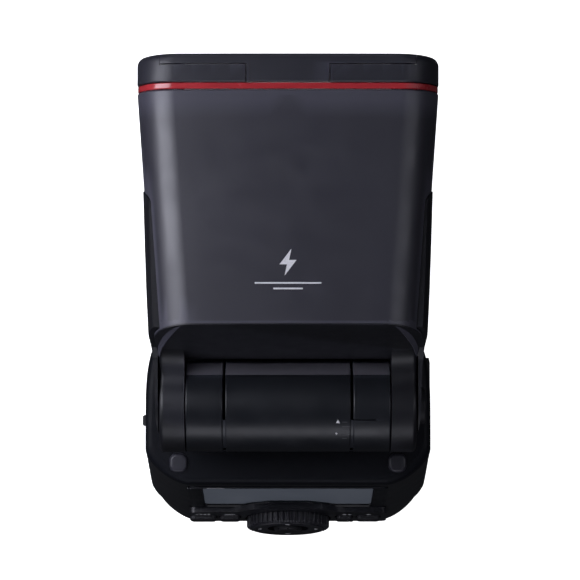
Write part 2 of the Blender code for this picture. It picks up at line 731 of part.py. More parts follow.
def make_front():
    """The collar round the front, the lens and the frame that holds it."""
    mouth = head_solid([(80, HEAD_WALL), (110, HEAD_WALL)])
    mouth = common(mouth, box((-36, 36), (70, 120), (98.5, 150)))
    lip_room = box(widened((-LIP_HALF, LIP_HALF)), (LIP_Y - GAP, 120), (WIDE_Z[0] - GAP, 160))
    tab_room = box(widened((-TAB_HALF, TAB_HALF)), (80, 120), (140, 160))
    finish(cut(collar_block(), mouth, lip_room, tab_room), "front_collar", BLACK, 0.4)
    half_x, half_z = LENS_FRAME_HALF
    z = widened((LENS_MIDDLE_Z, LENS_MIDDLE_Z), half_z)
    frame = box((-half_x, half_x), LENS_FRAME_Y, z, 0.5)
    half_x, half_z = LENS_HALF
    z = widened((LENS_MIDDLE_Z, LENS_MIDDLE_Z), half_z)
    frame = cut(frame, box(widened((-half_x, half_x)), (80, 120), widened(z)))
    finish(frame, "lens_frame", BLACK, 0.5)
    finish(box((-half_x, half_x), LENS_Y, z), "fresnel_lens", (0.75, 0.78, 0.8), 0.15)


def make_pull_panels():
    """Two plates stacked in the head's top, each with a lip across the front."""
    reach = (PLATE_REAR, LIP_Y + 1.2)
    card = box((-CARD_HALF, CARD_HALF), reach, CARD_Z)
    lip = box((-LIP_HALF, LIP_HALF), (LIP_Y, 96), (CARD_Z[0], HEAD_TOP + 0.5))
    tab = box((-TAB_HALF, TAB_HALF), (COLLAR_Y + 0.1, reach[1]), (TAB_LOW, HEAD_TOP + 0.5))
    card = join(card, common(join(lip, tab), collar_block()))
    finish(card, "catchlight_panel", (0.7, 0.7, 0.7), 0.5, 0.0, (0, LIP_Y, 146))
    wide = box((-WIDE_HALF, WIDE_HALF), reach, WIDE_Z)
    lip = box((-LIP_HALF, LIP_HALF), (LIP_Y, 96), (WIDE_Z[0], WIDE_LIP_HIGH))
    wide = join(wide, common(lip, collar_block()))
    finish(wide, "wide_panel", (0.6, 0.62, 0.65), 0.2, 0.0, (0, LIP_Y, 144))


def make_side_panels():
    """Long outer covers, flush with the head and standing clear of the hinge ears."""
    under = ((-20.0, 1.7), (12.0, 0.0), (70.0, 0.0))
    for name, side in (("left", -1), ("right", 1)):
        outer = head_solid([(y, -SIDE_PROUD, -flare) for y, flare in SIDE_FLARE])
        inner = head_solid([(y, SIDE_DEEP, -flare) for y, flare in under])
        half = box(sorted((side * 20, side * FAR)), (-40, 80), (80, ABOVE))
        ears = box(widened((-EAR_OUTER, EAR_OUTER)), (-40, HEAD_REAR), (80, 124))
        panel = cut(outer, inner, ears)
        panel = common(panel, half, prism(side_outline(), "X", -FAR, FAR))
        if side > 0:
            panel = cut(panel, across(BUTTON_WELL[0], 30, 50, 28))
        finish(panel, f"side_panel_{name}", DARK, 0.6)


def ear_ring(x, shrink):
    """One slice of a round ear that runs forward to the head's rear wall."""
    flat = [(HEAD_REAR - GAP, HINGE_Z - EAR_R), (HEAD_REAR - GAP, HINGE_Z + EAR_R)]
    for i in range(17):
        angle = math.radians(90 + 180 * i / 16)
        flat.append((EAR_R * math.cos(angle), HINGE_Z + EAR_R * math.sin(angle)))
    middle = 3.0
    ring = []
    for y, z in flat:
        pulled = middle + (y - middle) * shrink
        ring.append((x, min(pulled, y) if y > 0 else pulled, HINGE_Z + (z - HINGE_Z) * shrink))
    return ring


def make_ears():
    soft_edge = ((EAR_INNER, 1.0), (EAR_OUTER - 2.0, 1.0), (EAR_OUTER - 0.6, 0.94), (EAR_OUTER, 0.85))
    well, well_x = BUTTON_WELL
    for name, side in (("left", -1), ("right", 1)):
        ear = loft([ear_ring(side * x, shrink) for x, shrink in soft_edge])
        ear = cut(ear, across(SHAFT_R + GAP, -SHAFT_HALF - 0.4, SHAFT_HALF + 0.4, 24))
        if side > 0:
            ear = cut(ear, across(well, well_x, 45, 28))
        finish(ear, f"head_ear_{name}", DARK, 0.45)
    button = rod(BUTTON_R, (0, 0, HINGE_Z), ALONG_X, *BUTTON_X, 28)
    finish(button, "bounce_lock_button", DARK, 0.45, 0.0, (BUTTON_X[0] + 0.4, 0, HINGE_Z))
    finish(across(SHAFT_R, -SHAFT_HALF, SHAFT_HALF, 24), "hinge_shaft", STEEL, 0.3, 1.0)


def funnel_ring(y, half_x, half_z):
    corners = ((-1, -1), (1, -1), (1, 1), (-1, 1))
    return [(half_x * sx, y, LAMP_Z + half_z * sz) for sx, sz in corners]


def make_zoom():
    """The reflector and tube on a carriage, driven along a guide rod by a lead screw."""
    shell = loft([funnel_ring(LAMP_REAR, 26.2, 6.2), funnel_ring(LAMP_FRONT, 28.6, 17.0)])
    shell = join(shell, box((-34, 34), (LAMP_REAR - 1.5, LAMP_REAR + 1), (104, 127)))
    inside = (funnel_ring(LAMP_REAR + 1.6, 25.0, 5.0), funnel_ring(LAMP_FRONT + 1, 27.5, 16.2))
    shell = cut(shell, loft(inside))
    for x in (SCREW_X, GUIDE_X):
        shell = cut(shell, rod(1.5, (x, 0, HINGE_Z), ALONG_Y, 50, 70, 16))
    finish(shell, "zoom_reflector", (0.7, 0.7, 0.72), 0.12, 1.0, (0, LAMP_REAR - 0.3, LAMP_Z))
    tube = rod(2.2, (0, LAMP_REAR + 5.5, LAMP_Z), ALONG_X, -24.6, 24.6, 16)
    finish(tube, "flash_tube", (0.8, 0.8, 0.82), 0.08)
    screw_at = (SCREW_X, 0, HINGE_Z)
    screw = rod(1.2, screw_at, ALONG_Y, 31.3, 85, 12)
    finish(screw, "lead_screw", STEEL, 0.3, 1.0, (SCREW_X, 31.3, HINGE_Z))
    guide = rod(1.2, (GUIDE_X, 0, HINGE_Z), ALONG_Y, HEAD_REAR + 2.3, 87.8, 12)
    finish(guide, "guide_rod", STEEL, 0.25, 1.0)
    can = [(4.2, 16.5), (4.5, 16.8), (4.5, 30.7), (4.2, 31.0)]
    finish(turned(can, 20, screw_at, ALONG_Y), "zoom_motor", STEEL, 0.35, 1.0)


def make_fan():
    """A cooling fan in a square frame, its motor post on a spider."""
    centre = (FAN_X, FAN_Y, FAN_Z)
    sides = widened((FAN_X, FAN_X), FAN_HALF)
    frame = box(sides, (FAN_Y, FAN_Y + FAN_DEEP), widened((FAN_Z, FAN_Z), FAN_HALF), 0.6)
    frame = cut(frame, rod(11.4, centre, ALONG_Y, 1.2, 12, 32))
    vent = cut(rod(11.0, centre, ALONG_Y, -3, 3, 32), rod(5.0, centre, ALONG_Y, -5, 5, 20))
    vent = cut(vent, box((-40, 10), (10, 30), widened((FAN_Z, FAN_Z), 1)))
    vent = cut(vent, box(widened((FAN_X, FAN_X), 1), (10, 30), (100, 140)))
    frame = join(cut(frame, vent), rod(1.2, centre, ALONG_Y, 0.6, 6.8, 12))
    finish(frame, "fan_frame", DARK, 0.6)
    rotor = rod(4.2, centre, ALONG_Y, 1.7, 7.5, 20)
    hub = Vector((FAN_X, FAN_Y + 4.6, FAN_Z)) * MM
    for i in range(FAN_BLADES):
        blade = box((3.5, 10.4), (-2.4, 2.4), (-0.45, 0.45))
        turn = Matrix.Rotation(math.tau * i / FAN_BLADES, 4, "Y")
        twist = Matrix.Rotation(math.radians(28), 4, "X")
        blade.data.transform(Matrix.Translation(hub) @ turn @ twist)
        rotor = join(rotor, blade)
    rotor = cut(rotor, rod(1.6, centre, ALONG_Y, -3, 12, 12))
    finish(rotor, "fan_rotor", DARK, 0.5, 0.0, hub / MM)


def main():
    for old in list(bpy.data.objects):
        bpy.data.objects.remove(old)
    make_body_front_case()
    make_body_rear_case()
    make_top_deck()
    make_bottom_plate()
    make_foot()
    make_contacts()
    make_lock_lever()
    make_battery_door()
    make_terminal_cover()
    make_inside_body()
    make_screen()
    make_control_plate()
    make_dial()
    make_joystick()
    make_buttons()
    make_swivel()
    make_head_covers()
    make_red_ring()
    make_front()
    make_pull_panels()
    make_side_panels()
    make_ears()
    make_zoom()
    make_fan()


main()
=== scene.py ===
"""Looks for the speedlight flash: every visible piece and material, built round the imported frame.

Shapes are worked out in millimetres and turned into metres when a mesh is made. A cutting
block's far sides are round numbers that only have to reach past the shape it cuts.
"""
import json
import math

import bmesh
import bpy
from mathutils import Matrix, Vector


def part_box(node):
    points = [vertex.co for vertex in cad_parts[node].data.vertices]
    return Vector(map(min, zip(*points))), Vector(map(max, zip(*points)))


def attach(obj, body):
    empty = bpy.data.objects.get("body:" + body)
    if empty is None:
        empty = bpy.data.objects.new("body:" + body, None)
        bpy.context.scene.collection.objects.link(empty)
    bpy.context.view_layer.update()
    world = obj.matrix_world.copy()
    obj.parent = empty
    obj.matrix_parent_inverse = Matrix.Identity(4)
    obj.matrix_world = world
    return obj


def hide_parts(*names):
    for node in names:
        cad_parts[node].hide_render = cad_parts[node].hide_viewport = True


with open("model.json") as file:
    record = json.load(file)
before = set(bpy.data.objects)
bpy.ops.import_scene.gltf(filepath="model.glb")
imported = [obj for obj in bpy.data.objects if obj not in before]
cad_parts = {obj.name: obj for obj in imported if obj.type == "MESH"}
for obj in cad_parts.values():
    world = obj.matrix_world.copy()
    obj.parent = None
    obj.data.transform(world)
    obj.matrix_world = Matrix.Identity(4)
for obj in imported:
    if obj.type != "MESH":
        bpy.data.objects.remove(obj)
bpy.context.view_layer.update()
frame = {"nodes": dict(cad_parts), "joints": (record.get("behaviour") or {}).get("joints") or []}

MM = 0.001
GAP = 0.3
LIP_SEAM = 0.08
SEAM = 0.25
ORIGIN = (0, 0, 0)
UP = (0, 0, 1)
RIGHT = (1, 0, 0)
ALL_X = (-60, 60)
BARREL_X = (-40, 40)


# ---- sizes read from the frame ---------------------------------------------

def limits(node):
    """A node's lowest and highest corner in millimetres."""
    low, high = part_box(node)
    return low / MM, high / MM


def spots(node):
    return [v.co / MM for v in frame["nodes"][node].data.vertices]


def joint(name):
    return next(j for j in frame["joints"] if j["name"] == name)


TOP_LOW, TOP_HIGH = limits("head_top_cover")
BASE_LOW, BASE_HIGH = limits("head_bottom_cover")
COLLAR_LOW, COLLAR_HIGH = limits("front_collar")
RING_LOW, RING_HIGH = limits("red_ring")
DECK_LOW, DECK_HIGH = limits("top_deck")
CASE_LOW, CASE_HIGH = limits("body_rear_case")
HINGE_Z = joint("tilt")["pos_m"][2] / MM

HEAD_TOP = TOP_HIGH.z
HEAD_BOTTOM = BASE_LOW.z
HEAD_REAR = BASE_LOW.y
HEAD_FRONT = COLLAR_HIGH.y
SHELL_END = TOP_HIGH.y
HEAD_PART_Z = (TOP_LOW.z + BASE_HIGH.z) / 2
REAR_HALF = max(p.x for p in spots("head_bottom_cover") if p.y < HEAD_REAR + 0.01)
HEAD_TAPER = (TOP_HIGH.x - REAR_HALF) / (SHELL_END - HEAD_REAR)
HEAD_HALF_REAR = REAR_HALF - HEAD_TAPER * HEAD_REAR
SLOPE_TOP_Y = min(p.y for p in spots("head_top_cover") if p.z > HEAD_TOP - 0.01)
SLOPE_FOOT_Y = min(p.y for p in spots("head_top_cover") if p.z < TOP_LOW.z + 0.01)
SLOPE_RISE = (HEAD_TOP - TOP_LOW.z) / (SLOPE_TOP_Y - SLOPE_FOOT_Y)

HEAD_HALF_FRONT = COLLAR_HIGH.x
HEAD_CORNER = (10.5, 14.0)
HEAD_CORNER_LOW = 6.0
HEAD_WALL = 2.0
HEAD_CROWN = 0.35
CORNER_STEPS = 14

BODY_HALF = CASE_HIGH.x
BODY_LOW = CASE_LOW.z
BODY_HIGH = CASE_HIGH.z
DECK_TOP = 90.0
PANEL_AXIS = Vector(joint("dial_turn")["axis"])
PANEL_LEAN = math.atan2(PANEL_AXIS.z, -PANEL_AXIS.y)
PANEL_LOW_Z = 24.0
DIAL_SPOT = Vector(joint("dial_turn")["pos_m"]) / MM
DIAL_UP = (DIAL_SPOT.z - PANEL_LOW_Z) / math.cos(PANEL_LEAN)
PANEL_LOW_Y = DIAL_SPOT.y - DIAL_UP * math.sin(PANEL_LEAN)
FRONT_LOW_Y = 27.0
FRONT_LEAN = 3.0 / 60.0
WAIST_Z = 44.0
REAR_CORNER_X = 12.6
REAR_CORNER_POWER = 1.55
REAR_CORNER_Y = (11.8, 7.8, 10.4)
FRONT_CORNER = (14.0, 27.0, 3.0)
SPLIT_Y = -16.0
BODY_WALL = 2.0
BODY_TUCK = 5.0


# ---- shape tools ------------------------------------------------------------

def to_object(bm):
    """Turn a bmesh in millimetres into an object in metres."""
    bmesh.ops.recalc_face_normals(bm, faces=bm.faces)
    bmesh.ops.scale(bm, vec=(MM, MM, MM), verts=bm.verts)
    return new_tool(bm)


def new_tool(bm):
    """Move a bmesh into a new object in the scene."""
    mesh = bpy.data.meshes.new("tool")
    bm.to_mesh(mesh)
    bm.free()
    made = bpy.data.objects.new("tool", mesh)
    bpy.context.scene.collection.objects.link(made)
    return made


def loft(rings):
    """Skin a list of rings that have the same number of points."""
    bm = bmesh.new()
    loops = [[bm.verts.new(point) for point in ring] for ring in rings]
    count = len(loops[0])
    for low, high in zip(loops, loops[1:]):
        for i in range(count):
            j = (i + 1) % count
            bm.faces.new((low[i], low[j], high[j], high[i]))
    bm.faces.new(loops[0])
    bm.faces.new(loops[-1])
    bmesh.ops.triangulate(bm, faces=[face for face in bm.faces if len(face.verts) == 4])
    return to_object(bm)


def prism(outline, axis, low, high):
    """Extrude a flat outline along an axis between two heights."""
    place = {
        "X": lambda a, b, t: (t, a, b),
        "Y": lambda a, b, t: (a, t, b),
        "Z": lambda a, b, t: (a, b, t),
    }[axis]
    return loft([[place(a, b, t) for a, b in outline] for t in (low, high)])


def box(x, y, z, bevel=0.0, segments=2):
    """A block between three pairs of limits, with rounded edges if asked."""
    bm = bmesh.new()
    bmesh.ops.create_cube(bm, size=1.0)
    bmesh.ops.scale(bm, vec=(x[1] - x[0], y[1] - y[0], z[1] - z[0]), verts=bm.verts)
    if bevel:
        bmesh.ops.bevel(
            bm, geom=bm.edges[:], offset=bevel, segments=segments, profile=0.5, affect="EDGES"
        )
    middle = ((x[0] + x[1]) / 2, (y[0] + y[1]) / 2, (z[0] + z[1]) / 2)
    bmesh.ops.translate(bm, vec=middle, verts=bm.verts)
    return to_object(bm)


def turned(profile, steps, start, direction):
    """Turn a profile of (radius, height) points about a line."""
    turn = Vector(UP).rotation_difference(Vector(direction)).to_matrix()
    base = Vector(start)
    rings = []
    for radius, height in profile:
        ring = []
        for i in range(steps):
            angle = math.tau * i / steps
            spot = Vector((radius * math.cos(angle), radius * math.sin(angle), height))
            ring.append(base + turn @ spot)
        rings.append(ring)
    return loft(rings)


def rod(radius, start, direction, low, high, steps=48):
    return turned([(radius, low), (radius, high)], steps, start, direction)


def boolean(target, operation, *tools):
    """Cut, join or intersect with the exact solver, then drop the tools."""
    for tool in tools:
        step = target.modifiers.new(operation, "BOOLEAN")
        step.operation = operation
        step.solver = "EXACT"
        step.object = tool
        bpy.context.view_layer.update()
        graph = bpy.context.evaluated_depsgraph_get()
        result = bpy.data.meshes.new_from_object(target.evaluated_get(graph))
        target.modifiers.clear()
        target.data = result
        bpy.data.objects.remove(tool)
    return target


def twin(made):
    """A copy with a mesh of its own."""
    other = made.copy()
    other.data = made.data.copy()
    bpy.context.scene.collection.objects.link(other)
    return other


def cut(target, *tools):
    return boolean(target, "DIFFERENCE", *tools)


def join(target, *tools):
    return boolean(target, "UNION", *tools)


def common(target, *tools):
    return boolean(target, "INTERSECT", *tools)


def heap(tools):
    """Several shapes that don't touch, gathered into one cutting tool."""
    bm = bmesh.new()
    for tool in tools:
        bm.from_mesh(tool.data)
        bpy.data.objects.remove(tool)
    return new_tool(bm)


def quarter(steps):
    """Sine and cosine at even steps through a quarter turn."""
    turns = [math.radians(90.0 * i / steps) for i in range(steps + 1)]
    return [(math.sin(t), math.cos(t)) for t in turns]


def stack(levels):
    """Skin (z, outline) levels, each outline flat at its own height."""
    return loft([[(x, y, z) for x, y in outline] for z, outline in levels])


def corner(centre, reach, power, start, steps):
    """A quarter of a superellipse about a centre, from a start quadrant."""
    points = []
    for i in range(steps + 1):
        angle = math.radians(90.0 * (start + i / steps))
        c = math.cos(angle)
        s = math.sin(angle)
        x = centre[0] + math.copysign(reach[0] * abs(c) ** (2 / power), c)
        y = centre[1] + math.copysign(reach[1] * abs(s) ** (2 / power), s)
        points.append((x, y))
    return points


def pill(x, y, half_x, half_y, radius, steps=8):
    """A rectangle with round corners."""
    outline = []
    for quadrant, (sx, sy) in enumerate(((1, 1), (-1, 1), (-1, -1), (1, -1))):
        middle = (x + sx * (half_x - radius), y + sy * (half_y - radius))
        outline += corner(middle, (radius, radius), 2.0, quadrant, steps)
    return outline


def piece(made, name, body, look, replaces=(), bevel=0.0, segments=3, sharp=32):
    """Name a finished shape, give it its material and tie it to its body."""
    made.name = name
    made.data.name = name
    made.data.materials.clear()
    made.data.materials.append(look)
    made.data.shade_smooth()
    made.data.set_sharp_from_angle(angle=math.radians(sharp))
    if bevel:
        step = made.modifiers.new("edges", "BEVEL")
        step.width = bevel * MM
        step.segments = segments
        step.limit_method = "ANGLE"
        step.angle_limit = math.radians(sharp)
        step.harden_normals = True
        step.use_clamp_overlap = True
    level = made.modifiers.new("shading", "WEIGHTED_NORMAL")
    level.keep_sharp = True
    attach(made, body)
    if replaces:
        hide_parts(*replaces)


# ---- materials --------------------------------------------------------------

class Look:
    """A small helper that builds one node material."""

    def __init__(self, name, roughness, metallic=0.0):
        self.material = bpy.data.materials.new(name)
        self.material.use_nodes = True
        self.tree = self.material.node_tree
        self.shader = self.tree.nodes["Principled BSDF"]
        self.where = self.add("TexCoord").outputs["Object"]
        self.paint(Metallic=metallic, Roughness=roughness)

    def feed(self, node, **values):
        """Fill a node's inputs from plain values or from other nodes' outputs."""
        for key, value in values.items():
            socket = node.inputs[key.replace("_", " ")]
            if isinstance(value, bpy.types.NodeSocket):
                self.tree.links.new(value, socket)
            else:
                socket.default_value = value
        return node

    def add(self, kind, **values):
        return self.feed(self.tree.nodes.new("ShaderNode" + kind), **values)

    def paint(self, **values):
        self.feed(self.shader, **values)

    def stretched(self, scale):
        return self.add("Mapping", Vector=self.where, Scale=scale).outputs["Vector"]

    def noise(self, size_mm, detail=3.0, roughness=0.55, where=None):
        """Noise whose patches are about size_mm across."""
        node = self.add("TexNoise", Scale=1.0 / (size_mm * MM), Detail=detail, Roughness=roughness)
        return self.feed(node, Vector=where or self.where).outputs["Fac"]

    def cells(self, size_mm):
        return self.add("TexVoronoi", Vector=self.where, Scale=1.0 / (size_mm * MM)).outputs["Distance"]

    def ramp(self, value, low, high, out_low=0.0, out_high=1.0):
        node = self.add("MapRange", Value=value, From_Min=low, From_Max=high)
        return self.feed(node, To_Min=out_low, To_Max=out_high).outputs["Result"]

    def blend(self, value, first, second):
        """Mix two colours, given as tuples or sockets."""
        node = self.add("Mix")
        node.data_type = "RGBA"
        self.feed(node, Factor=value)
        for key, colour in ((6, first), (7, second)):
            if isinstance(colour, tuple):
                node.inputs[key].default_value = (*colour, 1.0)
            else:
                self.tree.links.new(colour, node.inputs[key])
        return node.outputs[2]

    def worn_edges(self):
        """High along convex edges."""
        return self.ramp(self.add("NewGeometry").outputs["Pointiness"], 0.53, 0.62)

    def bump(self, height, depth_mm, strength=0.5, below=None):
        node = self.add("Bump", Height=height, Distance=depth_mm * MM, Strength=strength)
        if below is not None:
            self.feed(node, Normal=below)
        return node.outputs["Normal"]


def scaled(colour, factor):
    return tuple(min(c * factor, 1.0) for c in colour)


def moulded(name, colour, roughness, shine=0.5, grain=0.28, depth=0.02, coat=0.0, edge=1.9, mottle=0.12):
    """Moulded plastic: fine spark-eroded grain, faint mottling and edges polished by handling."""
    look = Look(name, roughness)
    drift = look.ramp(look.noise(22.0, 2.0), 0.3, 0.7)
    ground = look.blend(drift, scaled(colour, 1 - mottle), scaled(colour, 1 + mottle))
    fine = look.bump(look.noise(grain, 2.0, 0.6), depth, 0.45)
    look.paint(
        Base_Color=look.blend(look.worn_edges(), ground, scaled(colour, edge)),
        Roughness=look.ramp(look.noise(6.0, 4.0), 0.3, 0.7, roughness - 0.05, roughness + 0.06),
        Normal=look.bump(look.cells(grain * 2.2), depth * 0.6, 0.25, fine),
        Specular_IOR_Level=shine,
    )
    if coat:
        look.paint(Coat_Weight=coat, Coat_Roughness=0.12)
    return look.material


def rubber(name, colour):
    look = Look(name, 0.78)
    dust = look.ramp(look.noise(9.0, 5.0), 0.35, 0.75)
    look.paint(
        Base_Color=look.blend(dust, colour, scaled(colour, 1.7)),
        Roughness=look.ramp(look.noise(2.0, 4.0), 0.3, 0.7, 0.68, 0.86),
        Normal=look.bump(look.noise(0.35, 3.0), 0.03),
        Sheen_Weight=0.12,
        Sheen_Roughness=0.5,
    )
    return look.material


def brushed(name, colour, roughness, stretch=(4.0, 0.15, 4.0)):
    """Metal with fine lines along one direction and small scuffs."""
    look = Look(name, roughness, 1.0)
    lines = look.noise(0.6, 4.0, 0.7, look.stretched(stretch))
    scuffs = look.ramp(look.noise(3.0, 6.0, 0.7), 0.45, 0.7)
    look.paint(
        Base_Color=look.blend(scuffs, colour, scaled(colour, 0.78)),
        Roughness=look.ramp(lines, 0.3, 0.7, roughness - 0.08, roughness + 0.14),
        Normal=look.bump(lines, 0.01, 0.35),
        Anisotropic=0.4,
    )
    return look.material


def glossy(name, colour, roughness, coat=1.0):
    """Polished plastic or painted trim under a clear coat, with faint smears."""
    look = Look(name, roughness)
    tone = look.ramp(look.noise(12.0, 3.0), 0.3, 0.7)
    look.paint(
        Base_Color=look.blend(tone, scaled(colour, 0.9), scaled(colour, 1.1)),
        Roughness=look.ramp(look.noise(7.0, 6.0, 0.65), 0.35, 0.7, roughness, roughness + 0.05),
        Normal=look.bump(look.noise(1.5, 2.0), 0.006, 0.3),
        Coat_Weight=coat,
        Coat_Roughness=0.06,
    )
    return look.material


def clear(name, colour, roughness, ior=1.49):
    look = Look(name, roughness)
    look.paint(
        Base_Color=look.blend(look.noise(14.0), colour, scaled(colour, 0.94)),
        Roughness=look.ramp(look.noise(5.0, 4.0), 0.3, 0.75, roughness, roughness + 0.06),
        Normal=look.bump(look.noise(2.0), 0.004, 0.25),
        Transmission_Weight=0.92,
        IOR=ior,
    )
    return look.material


def printed(name, colour):
    """Pad-printed ink, a little worn."""
    look = Look(name, 0.5)
    thin = look.ramp(look.noise(0.5, 5.0, 0.7), 0.45, 0.75)
    look.paint(
        Base_Color=look.blend(thin, colour, scaled(colour, 0.72)),
        Roughness=look.ramp(look.noise(1.0), 0.3, 0.7, 0.42, 0.6),
    )
    return look.material


def circuit(name):
    look = Look(name, 0.4)
    traces = look.ramp(look.cells(2.4), 0.25, 0.4)
    look.paint(
        Base_Color=look.blend(traces, (0.012, 0.09, 0.04), (0.02, 0.16, 0.07)),
        Roughness=look.ramp(look.noise(3.0), 0.3, 0.7, 0.3, 0.5),
        Normal=look.bump(traces, 0.03, 0.4),
    )
    return look.material


HEAD_LOOK = moulded("head_satin", (0.0250, 0.0246, 0.0330), 0.40, grain=0.22,
                    depth=0.010, mottle=0.06)
CASE_LOOK = moulded("case_black", (0.0090, 0.0094, 0.0116), 0.46, shine=0.4)
DECK_LOOK = moulded("deck_black", (0.0058, 0.0064, 0.0088), 0.50, shine=0.1, grain=0.3, depth=0.018)
REAR_LOOK = moulded("hinge_black", (0.0070, 0.0072, 0.0096), 0.42, shine=0.35, grain=0.24, depth=0.012)
BARREL_LOOK = moulded("barrel_black", (0.0078, 0.0088, 0.0116), 0.36, shine=0.35, grain=0.2,
                      depth=0.008)
# Painted highlight: the barrel's front strip is coloured far lighter than the barrel, standing in for
# light falling on the barrel's front.
STRIP_PAINTED_HIGHLIGHT_LOOK = moulded("barrel_strip_painted_highlight", (0.0750, 0.0730, 0.0860), 0.44, grain=0.22, depth=0.010)
SIDE_LOOK = moulded("side_black", (0.0060, 0.0062, 0.0084), 0.48, shine=0.3, grain=0.4, depth=0.025)
FRONT_LOOK = moulded("collar_black", (0.0190, 0.0190, 0.0255), 0.40, shine=0.4, grain=0.22, depth=0.010)
BUTTON_LOOK = moulded("button_black", (0.0090, 0.0090, 0.0110), 0.5, shine=0.3, grain=0.2,
                      depth=0.015, edge=2.4)
INNER_LOOK = moulded("inner_black", (0.0080, 0.0080, 0.0090), 0.6, shine=0.3)
PLATE_LOOK = moulded("control_black", (0.0055, 0.0058, 0.0078), 0.34, shine=0.3, grain=0.18,
                     depth=0.006, coat=0.05)
DIAL_LOOK = moulded("dial_black", (0.0062, 0.0062, 0.0080), 0.42, shine=0.3, grain=0.2,
                    depth=0.014, edge=2.8)
RUBBER_LOOK = rubber("flap_rubber", (0.0065, 0.0065, 0.0080))
RED_LOOK = glossy("red_band", (0.34, 0.022, 0.028), 0.24, coat=0.5)
WINDOW_LOOK = glossy("red_window", (0.055, 0.002, 0.004), 0.08)
BEZEL_LOOK = moulded("screen_black", (0.0050, 0.0056, 0.0076), 0.36, shine=0.2, grain=0.16, depth=0.004)
STEEL_LOOK = brushed("steel", (0.5, 0.5, 0.5), 0.3)
GOLD_LOOK = brushed("gold_plate", (0.75, 0.52, 0.2), 0.2)
MIRROR_LOOK = brushed("reflector", (0.86, 0.86, 0.88), 0.1, (1.0, 1.0, 1.0))
LENS_LOOK = clear("lens_clear", (0.93, 0.95, 0.96), 0.05)
TUBE_LOOK = clear("tube_glass", (0.9, 0.92, 0.95), 0.02, 1.46)
CARD_LOOK = moulded("card_white", (0.78, 0.78, 0.77), 0.5, edge=1.1, mottle=0.03)
INK_LOOK = printed("pale_ink", (0.62, 0.62, 0.64))
FAINT_LOOK = printed("grey_ink", (0.045, 0.046, 0.052))
BOARD_LOOK = circuit("circuit_board")


def screen_look():
    """A resting liquid-crystal display: grey-green glass with a faint dot grid."""
    look = Look("screen_grey", 0.2)
    shade = look.ramp(look.noise(30.0, 2.0), 0.3, 0.7)
    look.paint(
        Base_Color=look.blend(shade, (0.275, 0.310, 0.355), (0.298, 0.334, 0.382)),
        Roughness=look.ramp(look.noise(6.0, 5.0), 0.35, 0.7, 0.16, 0.24),
        Normal=look.bump(look.cells(0.35), 0.004, 0.15),
        Specular_IOR_Level=0.3,
        Coat_Weight=0.1,
        Coat_Roughness=0.3,
    )
    return look.material


SCREEN_LOOK = screen_look()


# ---- outlines ---------------------------------------------------------------

def head_half(y):
    return min(HEAD_HALF_REAR + HEAD_TAPER * y, HEAD_HALF_FRONT)


def head_ring(y, inset, narrow=0.0, top=HEAD_TOP):
    """The head's cross-section at one y, with a slightly crowned top."""
    half = head_half(y) - inset - narrow
    low = HEAD_BOTTOM + inset
    high = top - inset
    cx = max(HEAD_CORNER[0] - inset, 1.0)
    cz = max(HEAD_CORNER[1] - inset, 1.0)
    cl = max(HEAD_CORNER_LOW - inset, 1.0)
    outline = corner((half - cx, high - cz), (cx, cz), 2.0, 0, CORNER_STEPS)
    flat = half - cx
    for i in range(1, 12):
        outline.append((flat * (1 - i / 6), high))
    outline += corner((cx - half, high - cz), (cx, cz), 2.0, 1, CORNER_STEPS)
    outline += corner((cl - half, low + cl), (cl, cl), 2.0, 2, 6)
    outline += corner((half - cl, low + cl), (cl, cl), 2.0, 3, 6)
    sag = [min(abs(x) / flat, 1.0) ** 2 if z > high - 8 else 0.0 for x, z in outline]
    return [(x, y, z - HEAD_CROWN * drop) for (x, z), drop in zip(outline, sag)]


def head_solid(stations):
    """A head block through (y, inset) or (y, inset, narrow) stations."""
    return loft([head_ring(*station) for station in stations])


def behind_slope(offset):
    """The wedge behind the sloping rear face, moved forward by offset."""
    shift = offset * math.sqrt(1 + 1 / SLOPE_RISE ** 2)
    far = 12.0
    low_z = HEAD_BOTTOM - far
    low_y = SLOPE_TOP_Y + shift - (HEAD_TOP - low_z) / SLOPE_RISE
    outline = [
        (low_y, low_z),
        (SLOPE_TOP_Y + shift + far / SLOPE_RISE, HEAD_TOP + far),
        (-60, HEAD_TOP + far),
        (-60, low_z),
    ]
    return prism(outline, "X", *ALL_X)


def panel_y(z):
    level = max(PANEL_LOW_Z, min(z, BODY_HIGH))
    return PANEL_LOW_Y + (level - PANEL_LOW_Z) * math.tan(PANEL_LEAN)


def front_y(z):
    return FRONT_LOW_Y - FRONT_LEAN * (z - PANEL_LOW_Z)


def rear_reach(z):
    """How far forward the rear corner runs: least at the waist."""
    low, waist, high = REAR_CORNER_Y
    if z < WAIST_Z:
        share = max(0.0, (z - PANEL_LOW_Z) / (WAIST_Z - PANEL_LOW_Z))
        return low + (waist - low) * (3 - 2 * share) * share ** 2
    share = min(1.0, (z - WAIST_Z) / (BODY_HIGH - WAIST_Z))
    return waist + (high - waist) * (3 - 2 * share) * share ** 2


def body_ring(z, inset):
    """The body's plan outline at one height, pulled in by inset."""
    half = BODY_HALF - inset
    rear = panel_y(z) + inset
    front = front_y(z) - inset
    fx, fy, fp = FRONT_CORNER
    rx, rp = REAR_CORNER_X, REAR_CORNER_POWER
    ry = rear_reach(z)
    fy = min(fy, front - rear - ry - 0.5)
    outline = corner((half - fx, front - fy), (fx, fy), fp, 0, CORNER_STEPS)
    outline += corner((fx - half, front - fy), (fx, fy), fp, 1, CORNER_STEPS)
    outline += corner((rx - half, rear + ry), (rx, ry), rp, 2, CORNER_STEPS)
    outline += corner((half - rx, rear + ry), (rx, ry), rp, 3, CORNER_STEPS)
    return [(x, y, z) for x, y in outline]


def body_solid(levels):
    return loft([body_ring(z, inset) for z, inset in levels])


